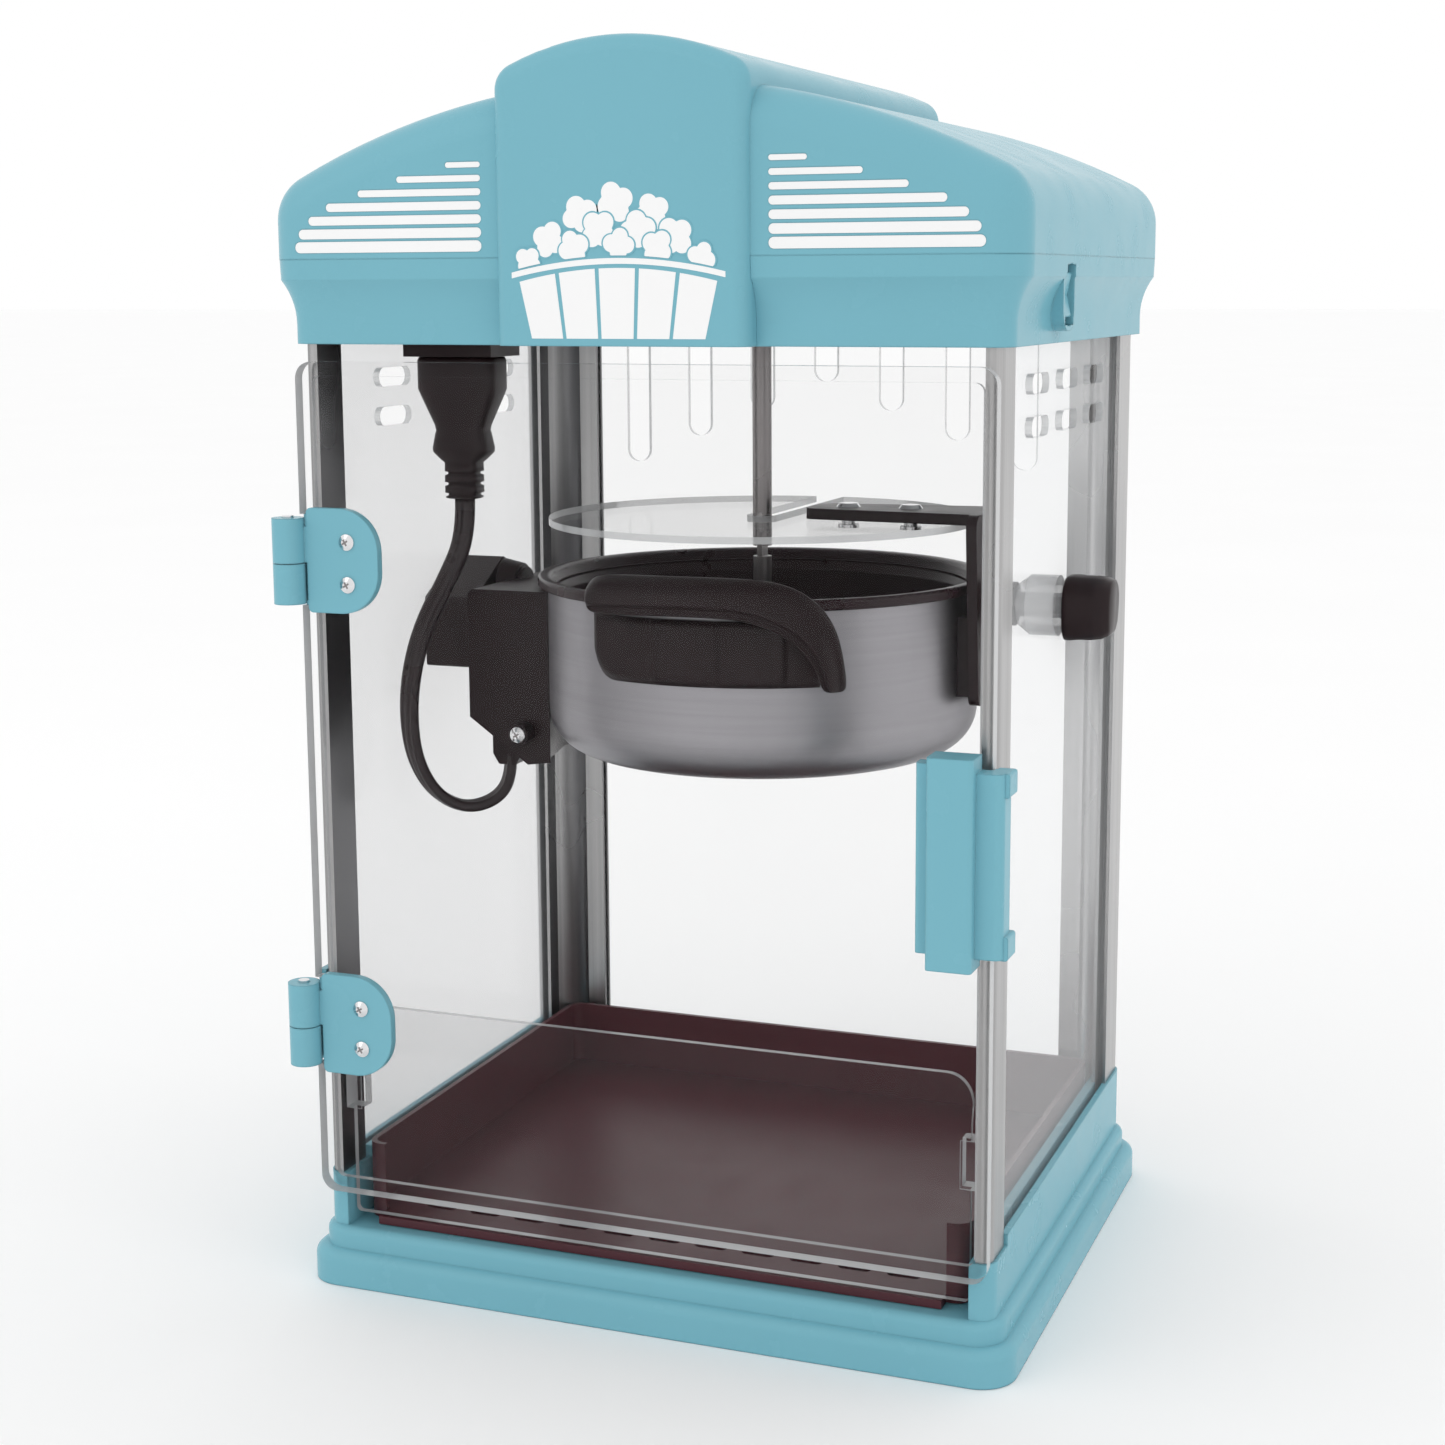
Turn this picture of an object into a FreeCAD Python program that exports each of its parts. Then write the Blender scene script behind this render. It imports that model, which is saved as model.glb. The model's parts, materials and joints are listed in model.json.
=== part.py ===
import FreeCAD, Part
import math
import os

import Sketcher

# Tabletop popcorn maker. Origin at the base's bottom centre, +X to the object's right,
# +Y to its back, +Z up, millimetres.

Vector = FreeCAD.Vector
Constraint = Sketcher.Constraint
doc = FreeCAD.newDocument("popcorn_maker")

# ---------------------------------------------------------------- driving dimensions

DIMENSIONS = {
    # base: a stepped plinth, a deck and the raised border that the cabinet stands in
    "plinth_x": 134, "plinth_y": 110, "plinth_top": 13, "plinth_round": 13,
    "step_x": 130, "step_y": 106, "step_top": 21, "step_round": 11,
    "riser_x": 127, "riser_y": 103, "riser_top": 45, "socket_top": 41, "riser_round": 6,
    "bay_x": 118.5, "bay_back": 95, "deck": 3, "shell_wall": 3, "plate_thick": 3,
    # cabinet: posts and clear panels
    "post_x": 126, "post_y": 102, "post_thick": 5.5, "front_post_deep": 16.5,
    "front_post_low": 31, "rear_post_r": 16.5, "rear_leg": 7, "groove_wide": 2.7,
    "panel_thick": 2.5, "panel_side_x": 122, "panel_low": 37, "panel_top": 347,
    "panel_front": -90.5, "panel_rear": 85, "back_panel_y": 98, "back_panel_x": 108,
    "vent_long": 24, "vent_high": 7, "vent_pitch": 44, "vent_upper": 331.5, "vent_lower": 317,
    "slot_wide": 10, "slot_pitch": 28, "slot_low": 325, "slot_step": 11.5,
    # hood: swept skirt, floor plate and domed lid with a raised crown
    "skirt_low": 345, "hood_parting": 374, "skirt_x": 129.5, "skirt_y": 105.5,
    "skirt_corner": 8, "flare": 5, "floor_thick": 3, "hood_wall": 3,
    "lid_x": 134.8, "lid_y": 110.8, "lid_apex": 432, "lid_arch_r": 280, "lid_round": 13,
    "lid_corner": 17, "crown_x": 45, "crown_y": 115, "crown_apex": 445, "crown_arch_r": 97.5,
    "crown_round": 5.5, "crown_corner": 9,
    "louver_low": 378, "louver_pitch": 4.45, "louver_inner": 51, "louver_deep": 0.8,
    # rocker switch on the hood's right side
    "switch_y": -45, "switch_z": 361, "switch_long": 19, "switch_wide": 10, "rocker_pivot": 123.5,
    # door, its two hinges and handle
    "door_x": 126, "door_low": 36, "door_top": 339, "door_front": -108.2, "door_skin": 2.5,
    "door_rim_back": -103.4, "door_rim": 5, "door_round": 6,
    "hinge_x": -128.5, "hinge_y": -112, "barrel_r": 5.75, "pin_r": 2, "leaf_thick": 3,
    "upper_hinge": 254.3, "lower_hinge": 85.5, "barrel_long": 30.4, "knuckle_split": 14.3,
    "handle_low": 146, "handle_top": 216, "handle_front": -120,
    # front guard and tray
    "guard_x": 117.5, "guard_low": 25, "guard_bend": 88, "guard_top": 103,
    "guard_front": -98.2, "guard_thick": 2.4, "guard_lean": 5,
    "tray_x": 116, "tray_front": -93, "tray_back": 92, "tray_low": 21.4, "tray_top": 50,
    "tray_wall": 2, "tray_lip": -99,
    # kettle, on the tilt axis through (y 0, z tilt_z)
    "kettle_x": 8, "tilt_z": 250, "kettle_r": 81, "kettle_low": 192, "kettle_top": 254,
    "kettle_round": 17, "kettle_wall": 1.5, "liner_r": 76, "liner_floor": 214,
    "rim_r": 84.5, "rim_top": 258, "cover_r": 80, "cover_low": 277, "cover_thick": 2.5,
    "cover_slot": 11.5, "grip_r": 96.5, "grip_deep": 7,
    "bracket_x": 93, "bracket_thick": 3.8, "arm_low": 279.5,
    "arm_thick": 4, "stub_r": 6, "hanger_in": -100.5, "hanger_out": -122,
    # drive
    "rod_r": 3.6, "rod_low": 268, "fork_wide": 2.4, "fork_roof": 280.6, "blade_thick": 2,
    "shaft_r": 3.5, "shaft_top": 264, "gear_low": 358, "gear_high": 8, "tooth_module": 1.5,
    "gear_teeth": 40, "pinion_teeth": 10, "centre_slack": 0.35,
    # tilt knob
    "knob_in": 125, "knob_out": 142.2, "knob_shaft_r": 4.5, "knob_square": 3.1,
    "bush_r": 11, "bush_in": 107.7,
    # heater lead and its plug
    "plug_x": -97, "plug_y": -38, "lead_r": 2.6,
}

sheet = doc.addObject("Spreadsheet::Sheet", "dims")
for row, (alias, number) in enumerate(DIMENSIONS.items(), start=1):
    sheet.set("A%d" % row, alias)
    sheet.set("B%d" % row, str(number))
    sheet.setAlias("B%d" % row, alias)
doc.recompute()


class Size:
    """A number together with the spreadsheet expression that gives it."""

    def __init__(self, value, text=None):
        self.value = float(value)
        self.text = text if text else repr(float(value))

    def _join(self, other, sign, value):
        other = size(other)
        return Size(value(self.value, other.value), "(%s %s %s)" % (self.text, sign, other.text))

    def __add__(self, other):
        return self._join(other, "+", lambda a, b: a + b)

    def __sub__(self, other):
        return self._join(other, "-", lambda a, b: a - b)

    def __mul__(self, other):
        return self._join(other, "*", lambda a, b: a * b)

    def __truediv__(self, other):
        return self._join(other, "/", lambda a, b: a / b)

    def __radd__(self, other):
        return size(other) + self

    def __rsub__(self, other):
        return size(other) - self

    def __rmul__(self, other):
        return size(other) * self

    def __neg__(self):
        return size(0) - self


def size(number):
    return number if isinstance(number, Size) else Size(number)


class Dims:
    """dims.alias gives the Size held in that spreadsheet cell."""

    def __getattr__(self, alias):
        return Size(DIMENSIONS[alias], "dims." + alias)


dims = Dims()

# ---------------------------------------------------------------- building blocks

counts = {}


def fresh(stem):
    counts[stem] = counts.get(stem, 0) + 1
    return "%s_%d" % (stem, counts[stem])


def bind(thing, prop, number):
    thing.setExpression(prop, size(number).text)


def place(thing, x=0, y=0, z=0, along=None):
    """Puts an object at a bound position, with its own Z turned to the X or Y axis."""
    if along == "x":
        thing.Placement.Rotation = FreeCAD.Rotation(Vector(0, 1, 0), 90)
    if along == "y":
        thing.Placement.Rotation = FreeCAD.Rotation(Vector(1, 0, 0), -90)
    bind(thing, "Placement.Base.x", x)
    bind(thing, "Placement.Base.y", y)
    bind(thing, "Placement.Base.z", z)
    return thing


def box(x, y, z):
    """A block between two bounds on each axis, each given as (low, high)."""
    made = doc.addObject("Part::Box", fresh("block"))
    for prop, (low, high) in zip(("Length", "Width", "Height"), (x, y, z)):
        bind(made, prop, size(high) - low)
    return place(made, x[0], y[0], z[0])


def rod(radius, low, high, x=0, y=0, z=0, along="z"):
    """A cylinder between low and high on its own axis; the other two coordinates centre it."""
    made = doc.addObject("Part::Cylinder", fresh("round"))
    bind(made, "Radius", radius)
    bind(made, "Height", size(high) - low)
    start = {"x": (low, y, z), "y": (x, low, z), "z": (x, y, low)}[along]
    return place(made, *start, along=along if along != "z" else None)


def cone(radius_low, radius_high, low, high, x=0, y=0, z=0, along="z"):
    made = doc.addObject("Part::Cone", fresh("cone"))
    bind(made, "Radius1", radius_low)
    bind(made, "Radius2", radius_high)
    bind(made, "Height", size(high) - low)
    start = {"x": (low, y, z), "y": (x, low, z), "z": (x, y, low)}[along]
    return place(made, *start, along=along if along != "z" else None)


def join(*things):
    """One object of several: a fuse of all of them."""
    if len(things) == 1:
        return things[0]
    made = doc.addObject("Part::MultiFuse", fresh("fuse"))
    made.Shapes = list(things)
    made.Refine = True
    return made


def cut(base, *tools):
    made = doc.addObject("Part::Cut", fresh("cut"))
    made.Base = base
    made.Tool = join(*tools)
    made.Refine = True
    return made


def common(first, second):
    made = doc.addObject("Part::Common", fresh("common"))
    made.Base = first
    made.Tool = second
    return made


def group(*things):
    """Several separate solids kept in one object."""
    made = doc.addObject("Part::Compound", fresh("group"))
    made.Links = list(things)
    return made


def mirrored(thing):
    """The same piece on the other side of the plane X = 0."""
    made = doc.addObject("Part::Mirroring", fresh("mirror"))
    made.Source = thing
    made.Normal = Vector(1, 0, 0)
    return made


def rounded(base, radius, pick):
    """Rounds the edges that pick(edge) chooses."""
    doc.recompute()
    edges = [i + 1 for i, edge in enumerate(base.Shape.Edges) if pick(edge)]
    made = doc.addObject("Part::Fillet", fresh("rounded"))
    made.Base = base
    made.Edges = [(i, size(radius).value, size(radius).value) for i in edges]
    return made


def corner_arc(point, before, after, radius):
    """Start, end and centre of the arc that rounds a corner of an outline."""
    to_before = (before - point).normalize()
    to_after = (after - point).normalize()
    half = to_before.getAngle(to_after) / 2
    reach = radius / math.tan(half)
    middle = (to_before + to_after).normalize()
    return point + to_before * reach, point + to_after * reach, point + middle * (radius / math.sin(half))


def draw(sketch, outline):
    """Draws a closed outline of (x, y) or (x, y, corner radius) points, each bound to the sheet."""
    corners = [tuple(size(v) for v in point) for point in outline]
    points = [Vector(c[0].value, c[1].value, 0) for c in corners]
    count = len(points)
    ends = []
    for i, corner in enumerate(corners):
        if len(corner) == 3:
            ends.append(corner_arc(points[i], points[i - 1], points[(i + 1) % count], corner[2].value))
        else:
            ends.append((points[i], points[i], None))
    lines = []
    for i in range(count):
        line = Part.LineSegment(ends[i][1], ends[(i + 1) % count][0])
        lines.append(sketch.addGeometry(line, False))
    for i, corner in enumerate(corners):
        before, after = lines[i - 1], lines[i]
        start, end, centre = ends[i]
        if centre is None:
            sketch.addConstraint(Constraint("Coincident", before, 2, after, 1))
            held = after
        else:
            first, second = start - centre, end - centre
            turn = first.cross(second).z > 0
            angles = [math.atan2(v.y, v.x) for v in (first, second)]
            if not turn:
                angles.reverse()
            circle = Part.Circle(centre, Vector(0, 0, 1), corner[2].value)
            arc = sketch.addGeometry(Part.ArcOfCircle(circle, *angles), False)
            sketch.addConstraint(Constraint("Tangent", before, 2, arc, 1 if turn else 2))
            sketch.addConstraint(Constraint("Tangent", arc, 2 if turn else 1, after, 1))
            name = sketch.addConstraint(Constraint("Radius", arc, corner[2].value))
            bind(sketch, "Constraints[%d]" % name, corner[2])
            held = sketch.addGeometry(Part.Point(points[i]), True)
            sketch.addConstraint(Constraint("PointOnObject", held, 1, before))
            sketch.addConstraint(Constraint("PointOnObject", held, 1, after))
        for way, number in (("DistanceX", corner[0]), ("DistanceY", corner[1])):
            name = sketch.addConstraint(Constraint(way, -1, 1, held, 1, number.value))
            bind(sketch, "Constraints[%d]" % name, number)


def sketch_on(body, plane, outline):
    origin_plane = [f for f in body.Origin.OriginFeatures if f.Role == plane.upper() + "_Plane"][0]
    sketch = body.newObject("Sketcher::SketchObject", fresh("outline"))
    sketch.AttachmentSupport = [(origin_plane, "")]
    sketch.MapMode = "FlatFace"
    draw(sketch, outline)
    return sketch


def prism(plane, outline, low, high):
    """A padded outline drawn on the XY, XZ or YZ plane, between low and high on the third axis."""
    body = doc.addObject("PartDesign::Body", fresh("padded"))
    sketch = sketch_on(body, plane, outline)
    facing = -1 if plane == "XZ" else 1
    bind(sketch, "AttachmentOffset.Base.z", (size(low) + high) * facing / 2)
    pad = body.newObject("PartDesign::Pad", fresh("pad"))
    pad.Profile = sketch
    pad.Midplane = True
    bind(pad, "Length", size(high) - low)
    return body


def turned(profile, x=0, y=0, z=0, along=None):
    """A closed (radius, height) profile turned about its own Z axis."""
    body = doc.addObject("PartDesign::Body", fresh("turned"))
    sketch = sketch_on(body, "XZ", profile)
    spin = body.newObject("PartDesign::Revolution", fresh("spin"))
    spin.Profile = sketch
    spin.ReferenceAxis = (sketch, ["V_Axis"])
    spin.Angle = 360
    return place(body, x, y, z, along)


def rectangle(x, y, radius=None):
    """Corners of a rectangle between two bounds on each axis."""
    corners = [(x[0], y[0]), (x[1], y[0]), (x[1], y[1]), (x[0], y[1])]
    return [c + (radius,) for c in corners] if radius is not None else corners


def both(half):
    return (-half, size(half))


def screw(x, y, z, along, head_r, head, shank_r, shank, facing=1):
    """A domed head at the given seat, facing out along an axis, with its shank behind the seat."""
    body = doc.addObject("PartDesign::Body", fresh("screw"))
    profile = [(0, -size(shank)), (shank_r, -size(shank)), (shank_r, 0), (head_r, 0),
               (head_r, size(head) * 0.35, size(head) * 0.3), (size(head_r) * 0.45, head), (0, head)]
    sketch = sketch_on(body, "XZ", profile)
    spin = body.newObject("PartDesign::Revolution", fresh("spin"))
    spin.Profile = sketch
    spin.ReferenceAxis = (sketch, ["V_Axis"])
    spin.Angle = 360
    outward = {"x": Vector(facing, 0, 0), "y": Vector(0, facing, 0), "z": Vector(0, 0, facing)}[along]
    body.Placement.Rotation = FreeCAD.Rotation(Vector(0, 0, 1), outward)
    return place(body, x, y, z)


parts = {}


def node(label, thing):
    """Names a finished sub-part."""
    thing.Label = label
    parts[label] = thing
    return thing


# ---------------------------------------------------------------- where the fixings are


def corners_at(x, y):
    """The four points that mirror (x, y) in both centre planes."""
    return [(sx * x, sy * y) for sx in (-1, 1) for sy in (-1, 1)]


PADS = corners_at(112, 88)
BASE_SCREWS = corners_at(100, 72)
LID_BOSSES = corners_at(98, 82)
FRONT_POST_SCREW, REAR_POST_SCREW = (123.25, -96.5), (118, 94)
POST_SCREWS = [(side * x, y) for side in (-1, 1) for x, y in (FRONT_POST_SCREW, REAR_POST_SCREW)]

MOTOR_Y = ((DIMENSIONS["gear_teeth"] + DIMENSIONS["pinion_teeth"]) * DIMENSIONS["tooth_module"] / 2
           + DIMENSIONS["centre_slack"])
MOTOR_FOOT_X, MOTOR_FOOT_Y = 45, MOTOR_Y + 7

HINGES = (("upper", "upper_hinge"), ("lower", "lower_hinge"))
BRACKET_SCREW_Y, BRACKET_SCREW_RISE = -96, (6, 24)
BRACKET_SCREW_Z = [DIMENSIONS[cell] + rise for _, cell in HINGES for rise in BRACKET_SCREW_RISE]
LEAF_SCREW_X, LEAF_SCREW_RISE = -105.7, (7.3, 22.3)
HANDLE_SCREW_X, HANDLE_SCREW_Z = 115, (164, 198)
HANGER_SCREWS = ((-15, 227), (13, 227))

RIVETS = (42, 66)
KETTLE_BOLT_Y, KETTLE_BOLT_Z = (-9, 9), 231
GLAND_X, GLAND_Z = -90, 360

# From the strain relief down, round a loop at the left wall and up to the plug.
LEAD = [(-84, -30, 188), (-84, -30, 178.5), (-88, -34.5, 170.5), (-97.5, -41.5, 167.5), (-107.5, -47.5, 173.5),
        (-113.5, -52, 187), (-114.8, -54, 204), (-113, -54, 222), (-108.5, -51, 240), (-101, -45, 257),
        (-97, -38, 272), (-97, -38, 286)]

# ---------------------------------------------------------------- base


def front_post_blank():
    inner = dims.post_x - dims.post_thick
    return prism("XY", [(inner, -dims.post_y), (dims.post_x, -dims.post_y, 4),
                        (dims.post_x, dims.front_post_deep - dims.post_y),
                        (inner, dims.front_post_deep - dims.post_y)],
                 dims.front_post_low, dims.panel_top)


def rear_post_blank():
    r = dims.rear_post_r
    corner = box((dims.post_x - r, dims.post_x), (dims.post_y - r, dims.post_y),
                 (dims.step_top, dims.panel_top))
    quarter = common(corner, rod(r, dims.step_top, dims.panel_top, dims.post_x, dims.post_y))
    side_leg = box((dims.post_x - dims.post_thick, dims.post_x),
                   (dims.post_y - r - dims.rear_leg, dims.post_y - r + 1), (dims.step_top, dims.panel_top))
    back_leg = box((dims.post_x - r - dims.rear_leg, dims.post_x - r + 1),
                   (dims.post_y - dims.post_thick, dims.post_y), (dims.step_top, dims.panel_top))
    soft_corner = prism("XY", rectangle(both(dims.post_x), both(dims.post_y), 4), dims.step_top, dims.panel_top)
    return common(join(quarter, side_leg, back_leg), soft_corner)


def base_shell():
    plinth = prism("XY", rectangle(both(dims.plinth_x), both(dims.plinth_y), dims.plinth_round),
                   0, dims.plinth_top)
    plinth = rounded(plinth, 4, lambda e: e.BoundBox.ZMin > DIMENSIONS["plinth_top"] - 0.1)
    step = prism("XY", rectangle(both(dims.step_x), both(dims.step_y), dims.step_round), 0, dims.step_top)
    step = rounded(step, 3, lambda e: e.BoundBox.ZMin > DIMENSIONS["step_top"] - 0.1)
    border = prism("XY", rectangle(both(dims.riser_x), both(dims.riser_y), dims.riser_round),
                   1, dims.riser_top)
    wall = dims.shell_wall
    hollow_low = prism("XY", rectangle(both(dims.plinth_x - wall), both(dims.plinth_y - wall), 10),
                       -1, dims.plinth_top - wall)
    hollow_high = prism("XY", rectangle(both(dims.step_x - wall), both(dims.step_y - wall), 8),
                        1, dims.step_top - dims.deck)
    bay = box(both(dims.bay_x), (-dims.riser_y - 1, dims.bay_back), (dims.step_top, dims.riser_top + 1))
    socket_relief = box(both(dims.plinth_x), (-dims.riser_y - 1, dims.front_post_deep - dims.post_y + 1.5),
                        (dims.socket_top, dims.riser_top + 1))
    slack = (dims.groove_wide - dims.panel_thick) / 2
    tools = [hollow_low, hollow_high, bay, socket_relief]
    groove = box((dims.panel_side_x - slack, dims.panel_side_x + dims.panel_thick + slack),
                 (dims.panel_front - 1, dims.panel_rear + 1), (dims.panel_low, dims.riser_top + 1))
    for seat in (front_post_blank(), rear_post_blank(), groove):
        tools += [seat, mirrored(seat)]
    back_groove = (dims.back_panel_y - slack, dims.back_panel_y + dims.panel_thick + slack)
    tools.append(box(both(dims.back_panel_x), back_groove, (dims.panel_low, dims.riser_top + 1)))
    shell = cut(join(plinth, step, border), *tools)
    bosses = [rod(5, dims.plate_thick, dims.step_top - 1, x, y) for x, y in BASE_SCREWS]
    bores = [rod(1.75, 0, 16, x, y) for x, y in BASE_SCREWS]
    return node("base_shell", cut(join(shell, *bosses), *bores))


def base_plate():
    wall = dims.shell_wall
    plate = prism("XY", rectangle(both(dims.plinth_x - wall), both(dims.plinth_y - wall), 10),
                  0, dims.plate_thick)
    pad_seats = [rod(11, -1, 1.5, x, y) for x, y in PADS]
    head_seats = [rod(4.2, -1, 1.6, x, y) for x, y in BASE_SCREWS]
    holes = [rod(1.75, 0, 4, x, y) for x, y in BASE_SCREWS]
    node("base_plate", cut(plate, *pad_seats, *head_seats, *holes))
    node("base_pads", group(*[rod(11, 0, 1.5, x, y) for x, y in PADS]))
    node("base_screws", group(*[screw(x, y, 1.6, "z", 3.4, 1.4, 1.7, 13, facing=-1) for x, y in BASE_SCREWS]))


def tray():
    x, wall = dims.tray_x, dims.tray_wall
    outer = prism("XY", rectangle(both(x), (dims.tray_front, dims.tray_back), 6), dims.tray_low, dims.tray_top)
    inner = prism("XY", rectangle(both(x - wall), (dims.tray_front + wall, dims.tray_back - wall), 4),
                  dims.tray_low + 3, dims.tray_top + 1)
    front_open = box(both(x - 8), (dims.tray_front - 1, dims.tray_front + wall + 4),
                     (dims.tray_low + 3, dims.tray_top + 1))
    lip = box(both(x - 8), (dims.tray_lip, dims.tray_front + 8), (dims.tray_low, dims.tray_low + 3))
    body = cut(join(outer, lip), inner, front_open)
    pitch, half = 18, 6
    across = (dims.tray_front + 8, dims.tray_front + 12)
    slots = [prism("XY", rectangle((pitch * i - half, pitch * i + half), across, 1.99),
                   dims.tray_low - 1, dims.tray_low + 4) for i in range(-5, 6)]
    return node("tray", cut(body, *slots))


# ---------------------------------------------------------------- posts and clear panels


def posts():
    slack = (dims.groove_wide - dims.panel_thick) / 2
    groove = (dims.panel_side_x - slack, dims.panel_side_x + dims.panel_thick + slack)
    back_groove = (dims.back_panel_y - slack, dims.back_panel_y + dims.panel_thick + slack)
    tall = (dims.step_top, dims.panel_top + 1)
    bore = (dims.panel_top - 14, dims.panel_top + 1)
    front = cut(front_post_blank(), box(groove, (dims.panel_front - 0.5, -80), tall),
                rod(1.55, *bore, *FRONT_POST_SCREW))
    rear = cut(rear_post_blank(), box(groove, (60, dims.panel_rear + 0.5), tall),
               box((80, dims.back_panel_x + 0.5), back_groove, tall), rod(1.55, *bore, *REAR_POST_SCREW))
    holes = [rod(1.3, -127, -122.5, y=BRACKET_SCREW_Y, z=z, along="x") for z in BRACKET_SCREW_Z]
    node("front_post_left", cut(mirrored(front), *holes))
    node("rear_post_left", mirrored(rear))
    node("front_post_right", front)
    node("rear_post_right", rear)


def pill(y_low, y_high, z_low, z_high, x_low, x_high, radius):
    return prism("YZ", rectangle((y_low, y_high), (z_low, z_high), radius), x_low, x_high)


def panels():
    x = dims.panel_side_x
    for side, name in ((1, "right"), (-1, "left")):
        span = (x, x + dims.panel_thick) if side > 0 else (-x - dims.panel_thick, -x)
        panel = box(span, (dims.panel_front, dims.panel_rear), (dims.panel_low, dims.panel_top))
        holes = []
        for row in (dims.vent_upper, dims.vent_lower):
            for i in (-1, 0, 1):
                middle = i * dims.vent_pitch
                half = dims.vent_high / 2
                reach = dims.vent_long / 2
                holes.append(pill(middle - reach, middle + reach, row - half, row + half,
                                  span[0] - 1, span[1] + 1, 3.49))
        if side > 0:
            holes.append(rod(4.7, span[0] - 1, span[1] + 1, z=dims.tilt_z, along="x"))
        else:
            holes += [rod(2.1, span[0] - 1, span[1] + 1, y=y, z=z, along="x") for y, z in HANGER_SCREWS]
        node("side_panel_" + name, cut(panel, *holes))
    back = box(both(dims.back_panel_x), (dims.back_panel_y, dims.back_panel_y + dims.panel_thick),
               (dims.panel_low, dims.panel_top))
    slots = []
    for i in range(-3, 4):
        middle = i * dims.slot_pitch
        low = dims.slot_low - abs(i) * dims.slot_step
        slots.append(prism("XZ", rectangle((middle - dims.slot_wide / 2, middle + dims.slot_wide / 2),
                                           (low, dims.panel_top + 8), 4.9),
                           dims.back_panel_y - 1, dims.back_panel_y + dims.panel_thick + 1))
    node("back_panel", cut(back, *slots))


# ---------------------------------------------------------------- hood

def skirt_section():
    """Wall section at the skirt's front: straight foot, cavetto, nearly straight upper edge."""
    low, top, flare = DIMENSIONS["skirt_low"], DIMENSIONS["hood_parting"], DIMENSIONS["flare"]
    wall = Vector(0, DIMENSIONS["hood_wall"], 0)
    y = -DIMENSIONS["skirt_y"]
    foot, shoulder = low + 7, low + 22
    rise = shoulder - foot
    bend = (rise * rise + flare * flare) / (2 * flare)
    half = math.asin(rise / bend) / 2
    corners = [Vector(0, y, low), Vector(0, y, foot), Vector(0, y - flare, shoulder),
               Vector(0, y - flare - 0.3, top)]
    middle = Vector(0, y - bend * (1 - math.cos(half)), foot + bend * math.sin(half))
    inner = [corner + wall for corner in corners]
    edges = [Part.LineSegment(corners[0], corners[1]), Part.Arc(corners[1], middle, corners[2]),
             Part.LineSegment(corners[2], corners[3]), Part.LineSegment(corners[3], inner[3]),
             Part.LineSegment(inner[3], inner[2]), Part.Arc(inner[2], middle + wall, inner[1]),
             Part.LineSegment(inner[1], inner[0]), Part.LineSegment(inner[0], corners[0])]
    return Part.Face(Part.Wire([edge.toShape() for edge in edges]))


def skirt_ring():
    """The section carried along four straight sides and turned round four corners."""
    half_x, half_y, r = DIMENSIONS["skirt_x"], DIMENSIONS["skirt_y"], DIMENSIONS["skirt_corner"]
    pieces = []
    for quarter in range(4):
        out, along = (half_y, half_x) if quarter % 2 == 0 else (half_x, half_y)
        section = skirt_section()
        section.translate(Vector(r - along, half_y - out, 0))
        run = Vector(2 * (along - r), 0, 0)
        side = section.extrude(run)
        section.translate(run)
        corner = section.revolve(Vector(along - r, r - out, 0), Vector(0, 0, 1), 90)
        for piece in (side, corner):
            piece.rotate(Vector(0, 0, 0), Vector(0, 0, 1), 90 * quarter)
            pieces.append(piece)
    return pieces[0].multiFuse(pieces[1:]).removeSplitter()


def hood_skirt():
    ring = doc.addObject("Part::Feature", fresh("skirt_ring"))
    ring.Shape = skirt_ring()
    y, z = dims.switch_y, dims.switch_z
    boss = prism("YZ", rectangle((y - 9, y + 9), (z - 12, z + 12), 8), 128, 134)
    recess = prism("YZ", rectangle((y - 7, y + 7), (z - 10.4, z + 10.4), 6), 131.5, 136)
    opening = box((120, 136), (y - dims.switch_wide / 2 - 1, y + dims.switch_wide / 2 + 1),
                  (z - dims.switch_long / 2 - 0.5, z + dims.switch_long / 2 + 0.5))
    gland_hole = rod(7, 100, 112, x=GLAND_X, z=GLAND_Z, along="y")
    return node("hood_skirt", cut(join(ring, boss), recess, opening, gland_hole))


def hood_floor():
    plate = prism("XY", rectangle(both(dims.skirt_x - dims.hood_wall), both(dims.skirt_y - dims.hood_wall), 9),
                  dims.panel_top, dims.panel_top + dims.floor_thick)
    z = (dims.panel_top - 1, dims.panel_top + 5)
    holes = [rod(5, *z, dims.kettle_x, 0)]
    holes += [rod(1.75, *z, x, y) for x, y in LID_BOSSES]
    holes += [rod(1.7, *z, x, y) for x, y in POST_SCREWS]
    holes.append(box((dims.plug_x - 18, dims.plug_x + 18), (dims.plug_y - 12, dims.plug_y + 12), z))
    return node("hood_floor", cut(plate, *holes))


def arch(x, low, apex, arch_r, corner, y_low, y_high, inset=0):
    """A block with an arched top whose two top corners are rounded, drawn from the front."""
    half = x - inset
    top = apex - inset
    radius = arch_r - inset
    shoulder = top - (radius - math.sqrt(radius * radius - half * half))
    sides = Part.Wire([Part.LineSegment(Vector(-half, y_low, shoulder), Vector(-half, y_low, low)).toShape(),
                       Part.LineSegment(Vector(-half, y_low, low), Vector(half, y_low, low)).toShape(),
                       Part.LineSegment(Vector(half, y_low, low), Vector(half, y_low, shoulder)).toShape(),
                       Part.Arc(Vector(half, y_low, shoulder), Vector(0, y_low, top),
                                Vector(-half, y_low, shoulder)).toShape()])
    block = Part.Face(sides).extrude(Vector(0, y_high - y_low, 0))
    upright = [e for e in block.Edges if abs(e.BoundBox.YLength - (y_high - y_low)) < 1e-6
               and e.BoundBox.ZMin > shoulder - 1e-6]
    return block.makeFillet(corner - inset, upright)


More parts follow.
